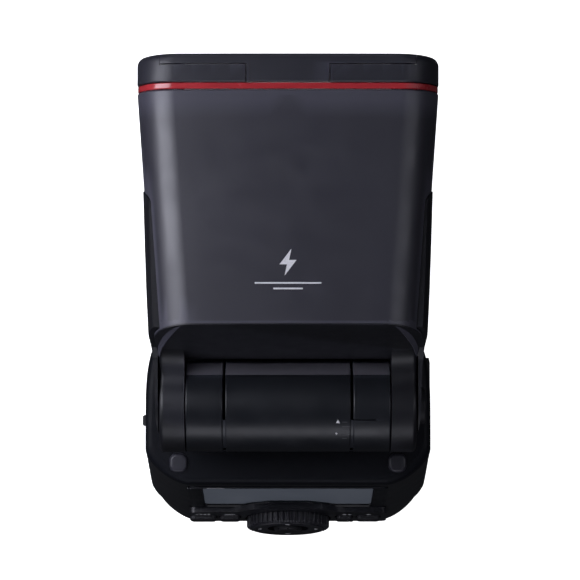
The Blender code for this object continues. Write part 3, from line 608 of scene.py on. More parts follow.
def body_block(grow=0.0):
    """The body's outer shape, its lower edge turned in by a smooth curve."""
    levels = []
    for s, c in quarter(6):
        levels.append((PANEL_LOW_Z - (PANEL_LOW_Z - BODY_LOW) * c, BODY_TUCK * (1 - s) - grow))
    for i in range(1, 13):
        levels.append((PANEL_LOW_Z + (BODY_HIGH - PANEL_LOW_Z) * i / 12, -grow))
    return body_solid(levels)


def body_hollow(wall):
    return body_solid([
        (BODY_LOW - 3, BODY_TUCK + wall), (18.0, 1.2 + wall), (PANEL_LOW_Z, wall), (WAIST_Z, wall),
        (BODY_HIGH + 3, wall),
    ])


def on_panel(x, up, out):
    """A point from its place on the leaning panel."""
    y = PANEL_LOW_Y + up * math.sin(PANEL_LEAN) - out * math.cos(PANEL_LEAN)
    z = PANEL_LOW_Z + up * math.cos(PANEL_LEAN) + out * math.sin(PANEL_LEAN)
    return Vector((x, y, z))


def panel_layers(layers):
    """Skin (outline, out) layers that stand off the leaning panel."""
    return loft([[on_panel(x, up, out) for x, up in outline] for outline, out in layers])


def panel_prism(outline, low, high):
    return panel_layers(((outline, low), (outline, high)))


def dial_rod(radius, low, high, steps=64):
    return rod(radius, on_panel(0, DIAL_UP, 0), PANEL_AXIS, low, high, steps)


def across(radius, low, high, steps=96):
    """A cylinder on the tilt axis."""
    return rod(radius, (0, 0, HINGE_Z), RIGHT, low, high, steps)


# ---- head -------------------------------------------------------------------

REAR_SKIN = 0.35
WALL_Y = HEAD_REAR - 0.7
BUTTON_WELL_R = 5.4
SIDE_LOW_BOX, SIDE_HIGH_BOX = limits("side_panel_right")
SIDE_DEEP = 0.8


def side_outline(grow=0.0):
    """The side cover's outline, seen from the side as (y, z)."""
    low, high = SIDE_LOW_BOX, SIDE_HIGH_BOX
    ear = 12.4
    outline = corner((low.y + ear, HINGE_Z), (ear, ear), 2.0, 1, 16)
    outline += corner((low.y + ear, HINGE_Z), (ear, ear), 2.0, 2, 16)[1:]
    outline += corner((high.y - 4, low.z + 4.4), (4 + grow, 4 + grow), 2.0, 3, 8)
    outline += corner((high.y - 4, high.z - 12), (4 + grow, 12 + grow), 2.0, 0, 12)
    outline += [(21.6 - grow, high.z + grow), (16.4 - grow, 124.8), (13.0 - grow, 122.6)]
    return outline


def side_recess():
    """The shallow steps in the head's sides that the side covers sit in."""
    whole = prism(side_outline(GAP), "X", *ALL_X)
    deep = SIDE_DEEP + GAP
    return cut(whole, head_solid([(y, deep) for y in range(-16, 72, 8)]))


def make_shoulders():
    """The head's two upper corners, carried back and down toward the ears."""
    fall = 1.83
    rings = []
    for i in range(12):
        y = 10.0 + 1.3 * i
        rings.append(head_ring(y, 0, 0, HEAD_TOP - fall * max(SLOPE_TOP_Y - y, 0.0)))
    block = cut(loft(rings), side_recess())
    block = common(block, box(ALL_X, (0, 60), (HEAD_PART_Z + SEAM / 2, 170)))
    inner_x, rear_y = 26.8, 11.5
    edge = [(inner_x, 22.6), (29.2, 21.6), (30.8, 20.3), (33.1, 18.05), (34.8, 16.0), (35.8, 13.7)]
    edge += [(36.2, rear_y), (60, rear_y), (60, 23.4), (inner_x, 23.4)]
    sides = []
    for side in (-1, 1):
        outline = [(side * x, y) for x, y in edge]
        sides.append(prism(outline, "Z", 100, 170))
    other = twin(block)
    return common(block, sides[0]), common(other, sides[1])


def make_head_shells():
    rows = [HEAD_REAR + (SHELL_END - 0.4 - HEAD_REAR) * i / 8 for i in range(9)]
    rows = sorted(rows + [SLOPE_TOP_Y + 1.2, SHELL_END - 1.6])
    outer = head_solid([(WALL_Y + REAR_SKIN, 0)] + [(y, 0) for y in rows] + [(SHELL_END, 0.3)])
    hollow = head_solid([(y, HEAD_WALL) for y in [HEAD_REAR - 5] + rows + [SHELL_END + 5]])
    shell = cut(outer, hollow, side_recess())
    lower = twin(shell)
    top = common(shell, box(ALL_X, (0, 120), (HEAD_PART_Z + SEAM / 2, 170)))
    top = join(cut(top, behind_slope(REAR_SKIN)), *make_shoulders())
    piece(top, "head_top", "head", HEAD_LOOK, ["head_top_cover"], 0.2)
    lower = common(lower, box(ALL_X, (0, 120), (80, HEAD_PART_Z - SEAM / 2)))
    lower = cut(lower, behind_slope(REAR_SKIN))
    piece(lower, "head_bottom", "head", CASE_LOOK, ["head_bottom_cover"], 0.3)


def ear_outline(radius):
    """A round ear seen from the side, its crown curving up into the sloping face."""
    hollow = Vector((8.30, HINGE_Z + 19.29))
    bend = 8.0
    flat = [(WALL_Y + 1.6, HINGE_Z - radius), (WALL_Y + 1.6, HINGE_Z + 12.0), (17.4, HINGE_Z + 17.07)]
    for i in range(13):
        angle = math.radians(-16.1 - (113.3 - 16.1) * i / 12)
        flat.append((hollow.x + bend * math.cos(angle), hollow.y + bend * math.sin(angle)))
    for i in range(1, 49):
        angle = math.radians(66.7 + 203.3 * i / 48)
        flat.append((radius * math.cos(angle), HINGE_Z + radius * math.sin(angle)))
    return flat


def ear_rings(side):
    """Slices of an ear with a soft outer edge."""
    ear_low, ear_high = limits("head_ear_right")
    radius = (ear_high.z - ear_low.z) / 2
    outer = ear_high.x
    soft = 1.3
    slices = [(ear_low.x, 0.0)]
    for s, c in quarter(8):
        slices.append((outer - soft + soft * s, soft * (1 - c)))
    rings = []
    for x, pull in slices:
        factor = (radius - pull) / radius
        rings.append([
            (side * x, y * factor if y < 0 else y, HINGE_Z + (z - HINGE_Z) * factor)
            for y, z in ear_outline(radius)
        ])
    return rings


def make_rear_moulding():
    """The sloping rear face, the wall under it and the two ears, moulded in one."""
    rows = [WALL_Y + 2.0 * i for i in range(13)]
    block = head_solid([(y, 0.05) for y in rows])
    slab = common(cut(block, behind_slope(0)), behind_slope(REAR_SKIN - 0.03))
    wall = head_solid([(WALL_Y, 0.05), (WALL_Y + REAR_SKIN - 0.03, 0.05)])
    wall = common(wall, box(ALL_X, (0, 60), (80, HINGE_Z + 7.6)))
    rear = join(slab, wall)
    rear = cut(rear, side_recess())
    for side in (-1, 1):
        rear = join(rear, loft(ear_rings(side)))
    button = limits("bounce_lock_button")[0].x
    rear = cut(rear, across(BUTTON_WELL_R, button - 1.5 - GAP, 60, 64))
    piece(rear, "head_rear", "head", REAR_LOOK, ["head_ear_left", "head_ear_right"], 0.1)


def make_red_ring():
    low, high = RING_LOW.y, RING_HIGH.y
    band = head_solid([(low, 0.45), (low + 0.25, 0.2), (high - 0.25, 0.2), (high, 0.45)])
    band = cut(band, head_solid([(low - 3, HEAD_WALL), (high + 3, HEAD_WALL)]))
    piece(band, "ring_red", "head", RED_LOOK, ["red_ring"])


def collar_block():
    """The collar's outer shape, its front corners rounded in plan."""
    start, end = COLLAR_LOW.y, COLLAR_HIGH.y
    turn = 2.3
    stations = [(start, 0.25), (start + 0.3, 0.0)]
    for s, c in quarter(12):
        back = turn * (1 - s)
        inset = max(0.0, 1.0 - back) ** 2 * 0.6
        narrow = turn * (1 - c)
        stations.append((end - back, inset, max(narrow - inset, 0.0)))
    return head_solid(stations)


def make_front():
    lip = limits("catchlight_panel")[1]
    lip_y = limits("lens_frame")[1].y - 0.6
    tab_half = 11.2
    top_z, card_z, wide_z, sheet_rear = 149.5, 145.4, 143.4, 43
    mouth = head_solid([(80, HEAD_WALL), (110, HEAD_WALL)])
    frame_low, frame_high = limits("lens_frame")
    mouth = common(mouth, box((-36, 36), (70, 120), (frame_low.z - 0.3, 150)))
    collar = cut(collar_block(), mouth)
    lip_half = lip.x + LIP_SEAM
    collar = cut(collar, box((-lip_half, lip_half), (lip_y - GAP, 120), (wide_z - GAP, 160)))
    collar = cut(collar, box((-tab_half - GAP, tab_half + GAP), (80, 120), (140, 160)))
    piece(collar, "collar", "head", FRONT_LOOK, ["front_collar"], 0.2)

    rim = box((frame_low.x, frame_high.x), (frame_low.y, frame_high.y), (frame_low.z, frame_high.z), 0.5)
    rings = []
    for y, grow in ((80.0, 0.0), (frame_high.y - 1.6, 0.0), (frame_high.y + 0.2, 1.1)):
        outline = pill(0, 120.8, 33 + grow, 18.8 + grow, 2.5 + grow)
        rings.append([(x, y, z) for x, z in outline])
    piece(cut(rim, loft(rings)), "lens_rim", "head", FRONT_LOOK, ["lens_frame"], 0.15)
    make_lens()

    lid = common(box((-lip.x, lip.x), (lip_y, 96), (card_z, top_z)), collar_block())
    tab = box((-tab_half, tab_half), (COLLAR_LOW.y + 0.1, lip_y + 1), (147.3, top_z))
    lid = join(lid, common(tab, collar_block()))
    notch = box((-9.5, 9.5), (HEAD_FRONT - 0.9, 99), (145, 146.6))
    piece(cut(lid, notch), "card_lip", "catchlight", FRONT_LOOK, ["catchlight_panel"], 0.22)
    card = box((-28.0, 28.0), (sheet_rear, lip_y + 0.4), (card_z + 0.05, card_z + 1.05), 0.3)
    piece(card, "card_white", "catchlight", CARD_LOOK, ["catchlight_panel"])

    lid = common(box((-lip.x, lip.x), (lip_y, 96), (wide_z, card_z - GAP)), collar_block())
    piece(lid, "wide_lip", "wide", LENS_LOOK, ["wide_panel"], 0.2)
    sheet = box((-30.0, 30.0), (sheet_rear, lip_y + 0.2), (wide_z, wide_z + 1.4))
    groove = (wide_z + 1.2, wide_z + 2)
    ribs = [box((-28.5, 28.5), (y, y + 0.45), groove) for y in (46 + 1.1 * i for i in range(40))]
    piece(cut(sheet, heap(ribs)), "wide_sheet", "wide", LENS_LOOK, ["wide_panel"])


def make_lens():
    """The front lens: a plate whose inner face is cut into stepped prisms."""
    low, high = limits("fresnel_lens")
    pitch = 1.15
    middle = (low.z + high.z) / 2
    profile = [(high.y, high.z), (high.y, low.z)]
    z = low.z
    while z < high.z - pitch / 2:
        lean = 1 if z + pitch / 2 < middle else -1
        deep = low.y + 0.85
        profile.append((low.y if lean > 0 else deep, z + 0.02))
        profile.append((deep if lean > 0 else low.y, min(z + pitch, high.z) - 0.02))
        z += pitch
    piece(prism(profile, "X", low.x, high.x), "lens", "head", LENS_LOOK, ["fresnel_lens"], sharp=20)


SIDE_FLARE = ((64.0, 0.0), (44.0, 0.8), (30.0, 1.3), (20.0, 1.5), (10.0, 1.25), (0.0, 1.65), (-4.0, 1.8))


def side_flare(y):
    """How far the side cover stands off the head's line as it runs back over the ear."""
    first_y, last_y = SIDE_FLARE[0][0], SIDE_FLARE[-1][0]
    if y >= first_y:
        return 0.0
    if y < last_y:
        return SIDE_FLARE[-1][1] - 1.6 * ((last_y - y) / 7) ** 2
    for (front, wide), (back, wider) in zip(SIDE_FLARE, SIDE_FLARE[1:]):
        if y >= back:
            return wide + (wider - wide) * (front - y) / (front - back)


def make_side_panels():
    """Long outer covers with vent slots, flush with the head and clear of the hinge ears."""
    ear = limits("head_ear_right")[1].x
    rows = [-11 + 1.5 * i for i in range(24)] + [32 + 6 * i for i in range(6)]
    for name, side in (("left", -1), ("right", 1)):
        outer = head_solid([(y, -0.1, -side_flare(y)) for y in rows])
        under = [(-20, SIDE_DEEP, -1.7), (12, SIDE_DEEP, 0)]
        inner = head_solid(under + [(y, SIDE_DEEP, 0) for y in range(20, 80, 8)])
        ears = box((-ear - GAP, ear + GAP), (-40, HEAD_REAR), (80, 124))
        half = box(sorted((side * 20, side * 60)), (-40, 80), (80, 170))
        panel = common(cut(outer, inner, ears), half, prism(side_outline(), "X", *ALL_X))
        slots = []
        for i in range(7):
            y = 24 + 3.6 * i
            shape = pill(y, 114.5, 0.75, 6.5, 0.7, 4)
            slots.append(prism(shape, "X", *sorted((side * (head_half(y) - 0.35), side * 60))))
        panel = cut(panel, heap(slots))
        if side > 0:
            panel = cut(panel, across(BUTTON_WELL_R, 30, 50, 64))
        piece(panel, f"head_side_{name}", "head", SIDE_LOOK, [f"side_panel_{name}"], 0.2)


def make_bounce_button():
    low, high = limits("bounce_lock_button")
    radius = (high.z - low.z) / 2
    profile = [
        (radius, low.x), (radius, high.x - 0.6), (radius - 0.15, high.x - 0.25), (radius - 0.6, high.x),
        (radius - 1.3, high.x - 0.05), (radius - 1.9, high.x - 0.35), (0.4, high.x - 0.45),
    ]
    made = turned(profile, 64, (0, 0, HINGE_Z), RIGHT)
    piece(made, "bounce_button", "bounce_lock", BUTTON_LOOK, ["bounce_lock_button"])


def make_head_mark():
    """A generic flash symbol over two thin bars, printed on the head."""
    top = HEAD_TOP + 0.02
    spot = Vector((0.0, 39.0))
    bolt = [(0.9, 3.6), (-2.3, -0.6), (-0.3, -0.6), (-0.9, -3.6), (2.3, 0.6), (0.3, 0.6)]
    outline = [(spot.x + x, spot.y + y) for x, y in bolt]
    piece(prism(outline, "Z", top - 0.06, top), "mark_symbol", "head", INK_LOOK)
    for name, y, half in (("mark_bar", 33.4, 9.0), ("mark_bar_short", 31.9, 4.0)):
        shape = pill(spot.x, y, half, 0.22, 0.2, 4)
        piece(prism(shape, "Z", top - 0.12, top), name, "head", INK_LOOK)


# ---- neck and barrel --------------------------------------------------------

STRIP_Y = 8.7
SLOT_END_Y = -3.8


def rim_points(radius, edge, soft, way):
    """A rounded rim's (radius, height) points, from the end face out to the side."""
    return [(radius - soft * (1 - s), edge + way * soft * (1 - c)) for s, c in quarter(6)]


def rounded_tube(radius, start, end, soft_start, soft_end):
    """A solid cylinder on the tilt axis with its two rims rounded off."""
    way = 1 if end > start else -1
    profile = rim_points(radius, start, soft_start, way) + rim_points(radius, end, soft_end, -way)[::-1]
    return turned(profile, 128, (0, 0, HINGE_Z), RIGHT)


def split_strip(tube, name, replaces):
    """Part the strip along the barrel's front from the rest of it; the strip gets a much lighter colour
    as a painted highlight.
    """
    top = (HINGE_Z + 4.5, HINGE_Z + 20)
    half_gap = 0.08
    strip = common(twin(tube), box(BARREL_X, (STRIP_Y + half_gap, 20), top))
    piece(strip, f"{name}_strip", "swivel", STRIP_PAINTED_HIGHLIGHT_LOOK, replaces, 0.12)
    rest = cut(tube, box(BARREL_X, (STRIP_Y - half_gap, 20), top))
    piece(rest, name, "swivel", BARREL_LOOK, replaces, 0.12)


def on_barrel(x, turn, radius):
    """A frame on the barrel's skin, turned from straight up toward the rear."""
    lift = Matrix.Translation(Vector((x, 0, HINGE_Z)) * MM)
    out = Matrix.Translation(Vector((0, 0, radius)) * MM)
    return lift @ Matrix.Rotation(math.radians(turn), 4, "X") @ out


def make_barrel_marks(radius):
    """An index arrow, a small bolt and a row of fine scale ticks."""
    shapes = [
        (13.9, 19.0, [(-0.55, -0.5), (0.55, -0.5), (0.0, 0.6)]),
        (13.5, 36.0, [(0.1, 0.5), (-0.4, -0.06), (-0.06, -0.06),
                      (-0.1, -0.5), (0.4, 0.06), (0.06, 0.06)]),
    ]
    marks = []
    for x, turn, flat in shapes:
        mark = prism(flat, "Z", -0.06, 0.05)
        mark.data.transform(on_barrel(x, turn, radius))
        marks.append(mark)
    piece(heap(marks), "barrel_mark", "swivel", INK_LOOK)
    ticks = []
    for i in range(5):
        wide = 1.1 if i % 2 else 0.7
        tick = box((-wide, wide), (-0.1, 0.1), (-0.06, 0.04))
        tick.data.transform(on_barrel(16.2 - (1.1 - wide), 20.0 + 6.0 * i, radius))
        ticks.append(tick)
    piece(heap(ticks), "barrel_ticks", "swivel", FAINT_LOOK)


def make_neck():
    radius = limits("swivel_base")[1].z - HINGE_Z
    half = limits("barrel_cover_right")[0].x - 0.45
    split_strip(rounded_tube(radius, -half, half, 0.35, 0.35), "barrel_middle", ["swivel_base"])
    make_barrel_marks(radius)
    fillers = []
    for side in (-1, 1):
        ends = sorted((side * (half - 0.05), side * (half + 0.75)))
        filler = cut(across(radius - 0.22, *ends), across(radius - 2, *BARREL_X))
        filler = common(filler, box(BARREL_X, (-40, SLOT_END_Y), (80, 140)))
        pit = box(ends, (-12.35, -11.75), (HINGE_Z, 140))
        fillers.append(cut(filler, pit))
    piece(heap(fillers), "barrel_seams", "swivel", BARREL_LOOK, ["swivel_base"])

    waist = ((90.5, 15.4, 10.2), (91.0, 24.0, 10.5), (92.0, 26.8, 10.5), (94.0, 27.5, 10.5),
             (101.2, 27.5, 10.4))
    column = stack([(z, pill(0, 0, half_x, half_y, 4.0, 8)) for z, half_x, half_y in waist])
    core, core_half, shaft = 9.0, 28.4, 3.4
    column = join(column, across(core, -core_half, core_half, 64))
    column = cut(column, across(shaft, *BARREL_X, 32))
    piece(column, "neck_column", "swivel", REAR_LOOK, ["swivel_base"], 0.2)
    spindle, reach, top = 11.7, 13.3, 92.0
    disc = [(spindle, 79.0), (spindle, 90.35), (reach - 0.3, 90.35), (reach, 90.6), (reach, top - 0.4),
            (reach - 0.4, top), (9.0, top)]
    disc = turned(disc, 96, ORIGIN, UP)
    piece(disc, "neck_disc", "swivel", REAR_LOOK, ["swivel_base"])
    make_barrel_covers(radius)


def make_barrel_covers(radius):
    """The barrel's end covers, with a lid outlined on the right one."""
    for name, side in (("left", -1), ("right", 1)):
        low, high = limits(f"barrel_cover_{name}")
        inner = min(abs(low.x), abs(high.x)) + 0.25
        outer = max(abs(low.x), abs(high.x))
        cover = rounded_tube(radius, side * inner, side * outer, 0.45, 0.5)
        cover = cut(cover, across(9.3, *BARREL_X, 64), box(BARREL_X, (-20, 20), (90, 101.3)))
        if side > 0:
            lid_line = box((inner - 1, 24.6), (-3.95, -3.65), (HINGE_Z + 5, HINGE_Z + radius + 2))
            cover = cut(cover, lid_line)
        split_strip(cover, f"barrel_end_{name}", [f"barrel_cover_{name}"])


# ---- body -------------------------------------------------------------------

def make_deck():
    """The flat top with a turned-down rim, a swivel bore and a lug at each rear corner."""
    start = DECK_LOW.z
    rim, rim_in = 2.0, 0.45
    levels = [(start, 0.0), (start + 1.6, 0.1), (start + 3.0, 0.3)]
    levels += [(DECK_TOP - rim * (1 - s), rim_in + rim * (1 - c)) for s, c in quarter(7)]
    deck = body_solid(levels)
    deck = cut(deck, rod(12.0, ORIGIN, UP, 80, 95, 96))
    lug_x, lug_y = 31.75, -16.6
    crown = DECK_HIGH.z
    levels = ((82, 0), (crown - 0.9, 0), (crown - 0.35, 0.25), (crown - 0.08, 0.6), (crown, 1))
    lugs = []
    for side in (-1, 1):
        lugs.append(stack([
            (z, pill(side * lug_x, lug_y, 2.65 - pull, 2.8 - pull, 2.1 - pull, 8)) for z, pull in levels
        ]))
    piece(heap(lugs), "deck_lugs", "body", FRONT_LOOK, ["top_deck"])
    piece(deck, "deck", "body", DECK_LOOK, ["top_deck"], 0.15)


def side_lid(y, z, radius, side):
    """A round-cornered opening in the side, as a tool."""
    outline = pill((y[0] + y[1]) / 2, (z[0] + z[1]) / 2, (y[1] - y[0]) / 2, (z[1] - z[0]) / 2, radius)
    return prism(outline, "X", *sorted((side * 30, side * 60)))


DOOR_LOW, DOOR_HIGH = limits("battery_door")
DOOR_Y = (DOOR_LOW.y, 14.0)
DOOR_Z = (DOOR_LOW.z, DOOR_HIGH.z)
FLAP_LOW, FLAP_HIGH = limits("terminal_cover")
FLAP_Y = (FLAP_LOW.y, FLAP_HIGH.y)
FLAP_Z = (FLAP_LOW.z, FLAP_HIGH.z)
SWITCH_UP = 5.4
LAMP_Z = 56
LAMP_HALF = (20, 12)


def grown(pair, by):
    return (pair[0] - by, pair[1] + by)


def make_cases():
    shell = cut(body_block(), body_hollow(BODY_WALL))
    rear = twin(shell)
    front = common(shell, box(ALL_X, (SPLIT_Y + SEAM / 2, 60), (0, 120)))
    front = cut(front, side_lid((DOOR_Y[0] - GAP, 14.5), grown(DOOR_Z, GAP), 2.3, 1))
    front = cut(front, side_lid(grown(FLAP_Y, GAP), grown(FLAP_Z, GAP), 2.3, -1))
    outline = pill(0, LAMP_Z, LAMP_HALF[0] + GAP, LAMP_HALF[1] + GAP, 3.3)
    front = cut(front, prism(outline, "Y", 10, 60))
    piece(front, "case_front", "body", CASE_LOOK, ["body_front_case"], 0.25)

    rear = common(rear, box(ALL_X, (-80, SPLIT_Y - SEAM / 2), (0, 120)))
    low, high = screen_up()
    half = limits("lcd_window")[1].x
    hole = pill(0, (low + high) / 2, half + GAP, (high - low) / 2 + GAP, 1.2)
    rear = cut(rear, panel_prism(hole, -6, 4), dial_rod(6.4, -8, 4))
    slot = pill(19.9, SWITCH_UP, 6.2, 2.3, 1.2)
    rear = cut(rear, panel_prism(slot, -0.5, 4))
    piece(rear, "case_rear", "body", CASE_LOOK, ["body_rear_case"], 0.25)
    make_window()


def make_window():
    """The dark red lamp window, with fine ribs behind its face."""
    shell = cut(body_block(), body_hollow(BODY_WALL))
    window = common(shell, prism(pill(0, LAMP_Z, *LAMP_HALF, 3.0), "Y", 10, 60))
    ribs = [box((x, x + 0.5), (10, 24.6), (46, 66)) for x in (-18 + 1.5 * i for i in range(24))]
    piece(cut(window, heap(ribs)), "lamp_window", "body", WINDOW_LOOK, ["af_window"], 0.3)


def screen_up():
    """How far up the panel the screen starts and ends."""
    low, high = limits("lcd_window")
    lean = math.cos(PANEL_LEAN)
    return 27.4, 27.4 + (high.z - low.z) / lean - 0.3


def make_screen():
    low, high = screen_up()
    half = limits("lcd_window")[1].x
    middle = (low + high) / 2
    tall = (high - low) / 2
    layers = []
    for pull, out in ((0.0, -1.5), (0.0, -0.45), (0.25, -0.3)):
        layers.append((pill(0, middle, half - pull, tall - pull, 1.0), out))
    piece(panel_layers(layers), "screen", "body", SCREEN_LOOK, ["lcd_window"])
    outer = pill(0, middle + 0.2, half + 4.2, tall + 1.6, 2.6)
    crest = pill(0, middle + 0.2, half + 3.9, tall + 1.3, 2.3)
    bezel = panel_layers(((outer, 0.02), (outer, 0.3), (crest, 0.5)))
    arch = [(-13.5, 26.0), (13.5, 26.0), (12.6, 28.2), (11.4, 29.6)]
    arch += [(8.0, 32.2), (6.6, 33.1), (5.0, 33.5)]
    arch = panel_prism(arch + [(-x, up) for x, up in reversed(arch[2:])], 0.02, 0.5)
    hole = []
    for grow, out in ((0.1, -1.0), (0.1, 0.1), (0.6, 0.7)):
        hole.append((pill(0, middle, half + grow, tall + grow, 1.1 + grow), out))
    bezel = join(cut(bezel, panel_layers(hole)), arch)
    piece(bezel, "screen_bezel", "body", BEZEL_LOOK)
    for i, (x, wide, look) in enumerate(((-27.0, 2.6, FAINT_LOOK), (-21.2, 2.6, INK_LOOK))):
        mark = pill(x, high + 1.0, wide, 0.2, 0.18, 4)
        piece(panel_prism(mark, 0.45, 0.56), f"bezel_mark_{i + 1}", "body", look)


BUTTONS = {
    "button_mode": ("mode_button", 4.0, 2.6),
    "button_menu": ("menu_button", 3.1, 2.6),
    "button_zoom": ("zoom_button", 2.5, 2.6),
    "button_test": ("test_button", 3.6, 2.2),
}


def button_spot(node):
    """A button's x and its distance up the panel."""
    low, high = limits(node)
    middle = (low + high) / 2
    rise, back = middle.z - PANEL_LOW_Z, middle.y - PANEL_LOW_Y
    return middle.x, rise * math.cos(PANEL_LEAN) + back * math.sin(PANEL_LEAN)


def make_control_plate():
    """The raised lower plate with its guard over the dial."""
    half = corner((28.3, 11.5), (2, 2), 2.0, 3, 6) + corner((28.3, 23.8), (1.8, 1.8), 2.0, 0, 6)
    half += [(17, 26), (14.6, 27.0), (12.4, 29.4), (10.4, 30.9), (8.6, 31.2)]
    outline = half + [(-x, up) for x, up in reversed(half)]
    plate = panel_prism(outline, GAP, 2.0)
    plate = cut(plate, dial_rod(DIAL_R + 0.5, -2, 6, 96))
    for node, (_, half_x, half_up) in BUTTONS.items():
        x, up = button_spot(node)
        hole = pill(x, up, half_x + 0.3, half_up + 0.3, 1.7)
        plate = cut(plate, panel_prism(hole, -1, 4))
    piece(plate, "control_surround", "body", PLATE_LOOK, ["control_plate"], 0.45, 4, 25)
    make_plate_marks()


def make_plate_marks():
    """Small generic symbols beside the buttons: bars, a dot, an arrow and a bolt."""
    marks = []
    for node, shape in zip(BUTTONS, ("bars", "lines", "dot", "bolt")):
        x, up = button_spot(node)
        up += 4.3
        if shape == "bars":
            for i in range(4):
                marks.append(pill(x - 1.8 + 1.2 * i, up + 0.1 * i, 0.35, 0.4 + 0.12 * i, 0.15, 3))
        elif shape == "lines":
            for i in range(2):
                marks.append(pill(x, up - 0.4 + 0.9 * i, 1.6, 0.17, 0.15, 3))
        elif shape == "dot":
            marks.append(pill(x, up, 0.6, 0.6, 0.58, 6))
            marks.append([(x + 1.3, up - 0.6), (x + 2.4, up), (x + 1.3, up + 0.6)])
        else:
            bolt = [(0.3, 1.2), (-0.8, -0.2), (-0.1, -0.2), (-0.3, -1.2), (0.8, 0.2), (0.1, 0.2)]
            marks.append([(x + a, up + b) for a, b in bolt])
    solids = [panel_prism(mark, 1.9, 2.04) for mark in marks]
    piece(heap(solids), "plate_marks", "body", INK_LOOK)


DIAL_LOW, DIAL_HIGH = limits("select_dial")
DIAL_R = (DIAL_HIGH.x - DIAL_LOW.x) / 2


def make_dial():
    """The knurled dial with a dished face and four direction arrows."""
    teeth = 44
    layers = []
    for out, pull in ((0.6, 0.35), (0.95, 0.0), (4.6, 0.0), (5.05, 0.45)):
        outline = []
        for i in range(teeth * 6):
            wave = math.cos(math.tau * (i / 6))
            radius = DIAL_R - pull - 0.35 + 0.35 * max(-1.0, min(1.0, wave * 1.6))
            angle = math.tau * i / (teeth * 6)
            outline.append((radius * math.cos(angle), DIAL_UP + radius * math.sin(angle)))
        layers.append((outline, out))
    dial = panel_layers(layers)
    centre = on_panel(0, DIAL_UP, 0)
    face = [(DIAL_R - 1.5, 4.5), (DIAL_R - 1.7, 5.4), (DIAL_R - 2.1, 5.5), (DIAL_R - 2.7, 5.3)]
    face += [(7.2, 5.05), (6.6, 5.2), (6.4, 5.1)]
    dial = join(dial, turned(face, 96, centre, PANEL_AXIS))
    dial = cut(dial, dial_rod(6.3, -1, 8))
    piece(dial, "dial", "dial", DIAL_LOOK, ["select_dial"], 0.12, 2, 40)
    arrows = []
    for i in range(4):
        c, s = math.cos(math.tau * i / 4), math.sin(math.tau * i / 4)
        flat = [(9.2, 0.0), (8.2, 0.8), (8.2, -0.8)]
        shape = [(x * c - y * s, DIAL_UP + x * s + y * c) for x, y in flat]
        arrows.append(panel_prism(shape, 5.0, 5.36))
    piece(heap(arrows), "dial_arrows", "dial", INK_LOOK)


def make_joystick():
    centre = on_panel(0, DIAL_UP, 0)
    profile = [(4.2, 1.7), (4.4, 2.2), (4.45, 4.7), (4.3, 5.4), (3.9, 5.9), (3.3, 6.1), (2.6, 6.0)]
    profile += [(1.9, 5.75), (1.0, 5.62), (0.2, 5.6)]
    cap = turned(profile, 64, centre, PANEL_AXIS)
    grooves = []
    for i in range(8):
        angle = math.tau * i / 8
        spot = (4.0 * math.cos(angle), DIAL_UP + 4.0 * math.sin(angle))
        grooves.append(panel_prism(pill(*spot, 0.3, 0.3, 0.28, 4), 5.5, 7.5))
    piece(cut(cap, heap(grooves)), "joystick_top", "joystick", BUTTON_LOOK, ["joystick_cap"])


def make_buttons():
    for node, (body, half_x, half_up) in BUTTONS.items():
        x, up = button_spot(node)
        layers = []
        for out, pull in ((1.15, 0.0), (2.7, 0.0), (3.0, 0.12), (3.2, 0.4), (3.28, 0.9), (3.2, 1.5)):
            radius = max(1.5 - pull, 0.3)
            layers.append((pill(x, up, half_x - pull, half_up - pull, radius), out))
        piece(panel_layers(layers), f"{node}_top", body, BUTTON_LOOK, [node])
    knob_low, knob_high = limits("power_switch")
    x = (knob_low.x + knob_high.x) / 2
    side = pill(x, SWITCH_UP, 2.5, 1.8, 0.7)
    knob = panel_layers(((side, 0.3), (side, 1.0), (pill(x, SWITCH_UP, 2.2, 1.5, 0.5), 1.3)))
    ribs = []
    for i in range(3):
        rib = pill(x - 1.2 + 1.2 * i, SWITCH_UP, 0.22, 1.9, 0.2, 3)
        ribs.append(panel_prism(rib, 1.05, 2))
    piece(cut(knob, heap(ribs)), "power_knob", "power", BUTTON_LOOK, ["power_switch"], 0.08)


def make_door():
    face = DOOR_HIGH.x - 0.7
    door = cut(body_block(0.9), body_hollow(1.2))
    door = common(door, side_lid(DOOR_Y, DOOR_Z, 2.0, 1), box((20, face), (-30, 30), (0, 100)))
    for i in range(4):
        y = DOOR_Y[0] + 1.5 + 1.1 * i
        door = join(door, box((face - 1, face + 0.6), (y, y + 0.55), (38, 58), 0.25))
    piece(door, "door_side", "door", CASE_LOOK, ["battery_door"], 0.3)


def make_flap():
    flap = cut(body_block(), body_hollow(1.2))
    flap = common(flap, side_lid(FLAP_Y, FLAP_Z, 2.0, -1))
    lip = box((FLAP_LOW.x, 0.8 - BODY_HALF), (-6.3, -3.0), (57, 69), 0.6, 4)
    flap = join(flap, lip)
    groove = box((-60, 0.3 - BODY_HALF), (5.9, 6.3), (FLAP_Z[0] + 2, FLAP_Z[1] - 2))
    piece(cut(flap, groove), "flap_side", "flap", RUBBER_LOOK, ["terminal_cover"], 0.3)


def cross_slot(x, y, reach, half, low, high):
    """The two blocks that cut a cross into a screw head."""
    return [
        box((x - reach, x + reach), (y - half, y + half), (low, high)),
        box((x - half, x + half), (y - reach, y + reach), (low, high - 0.05)),
    ]


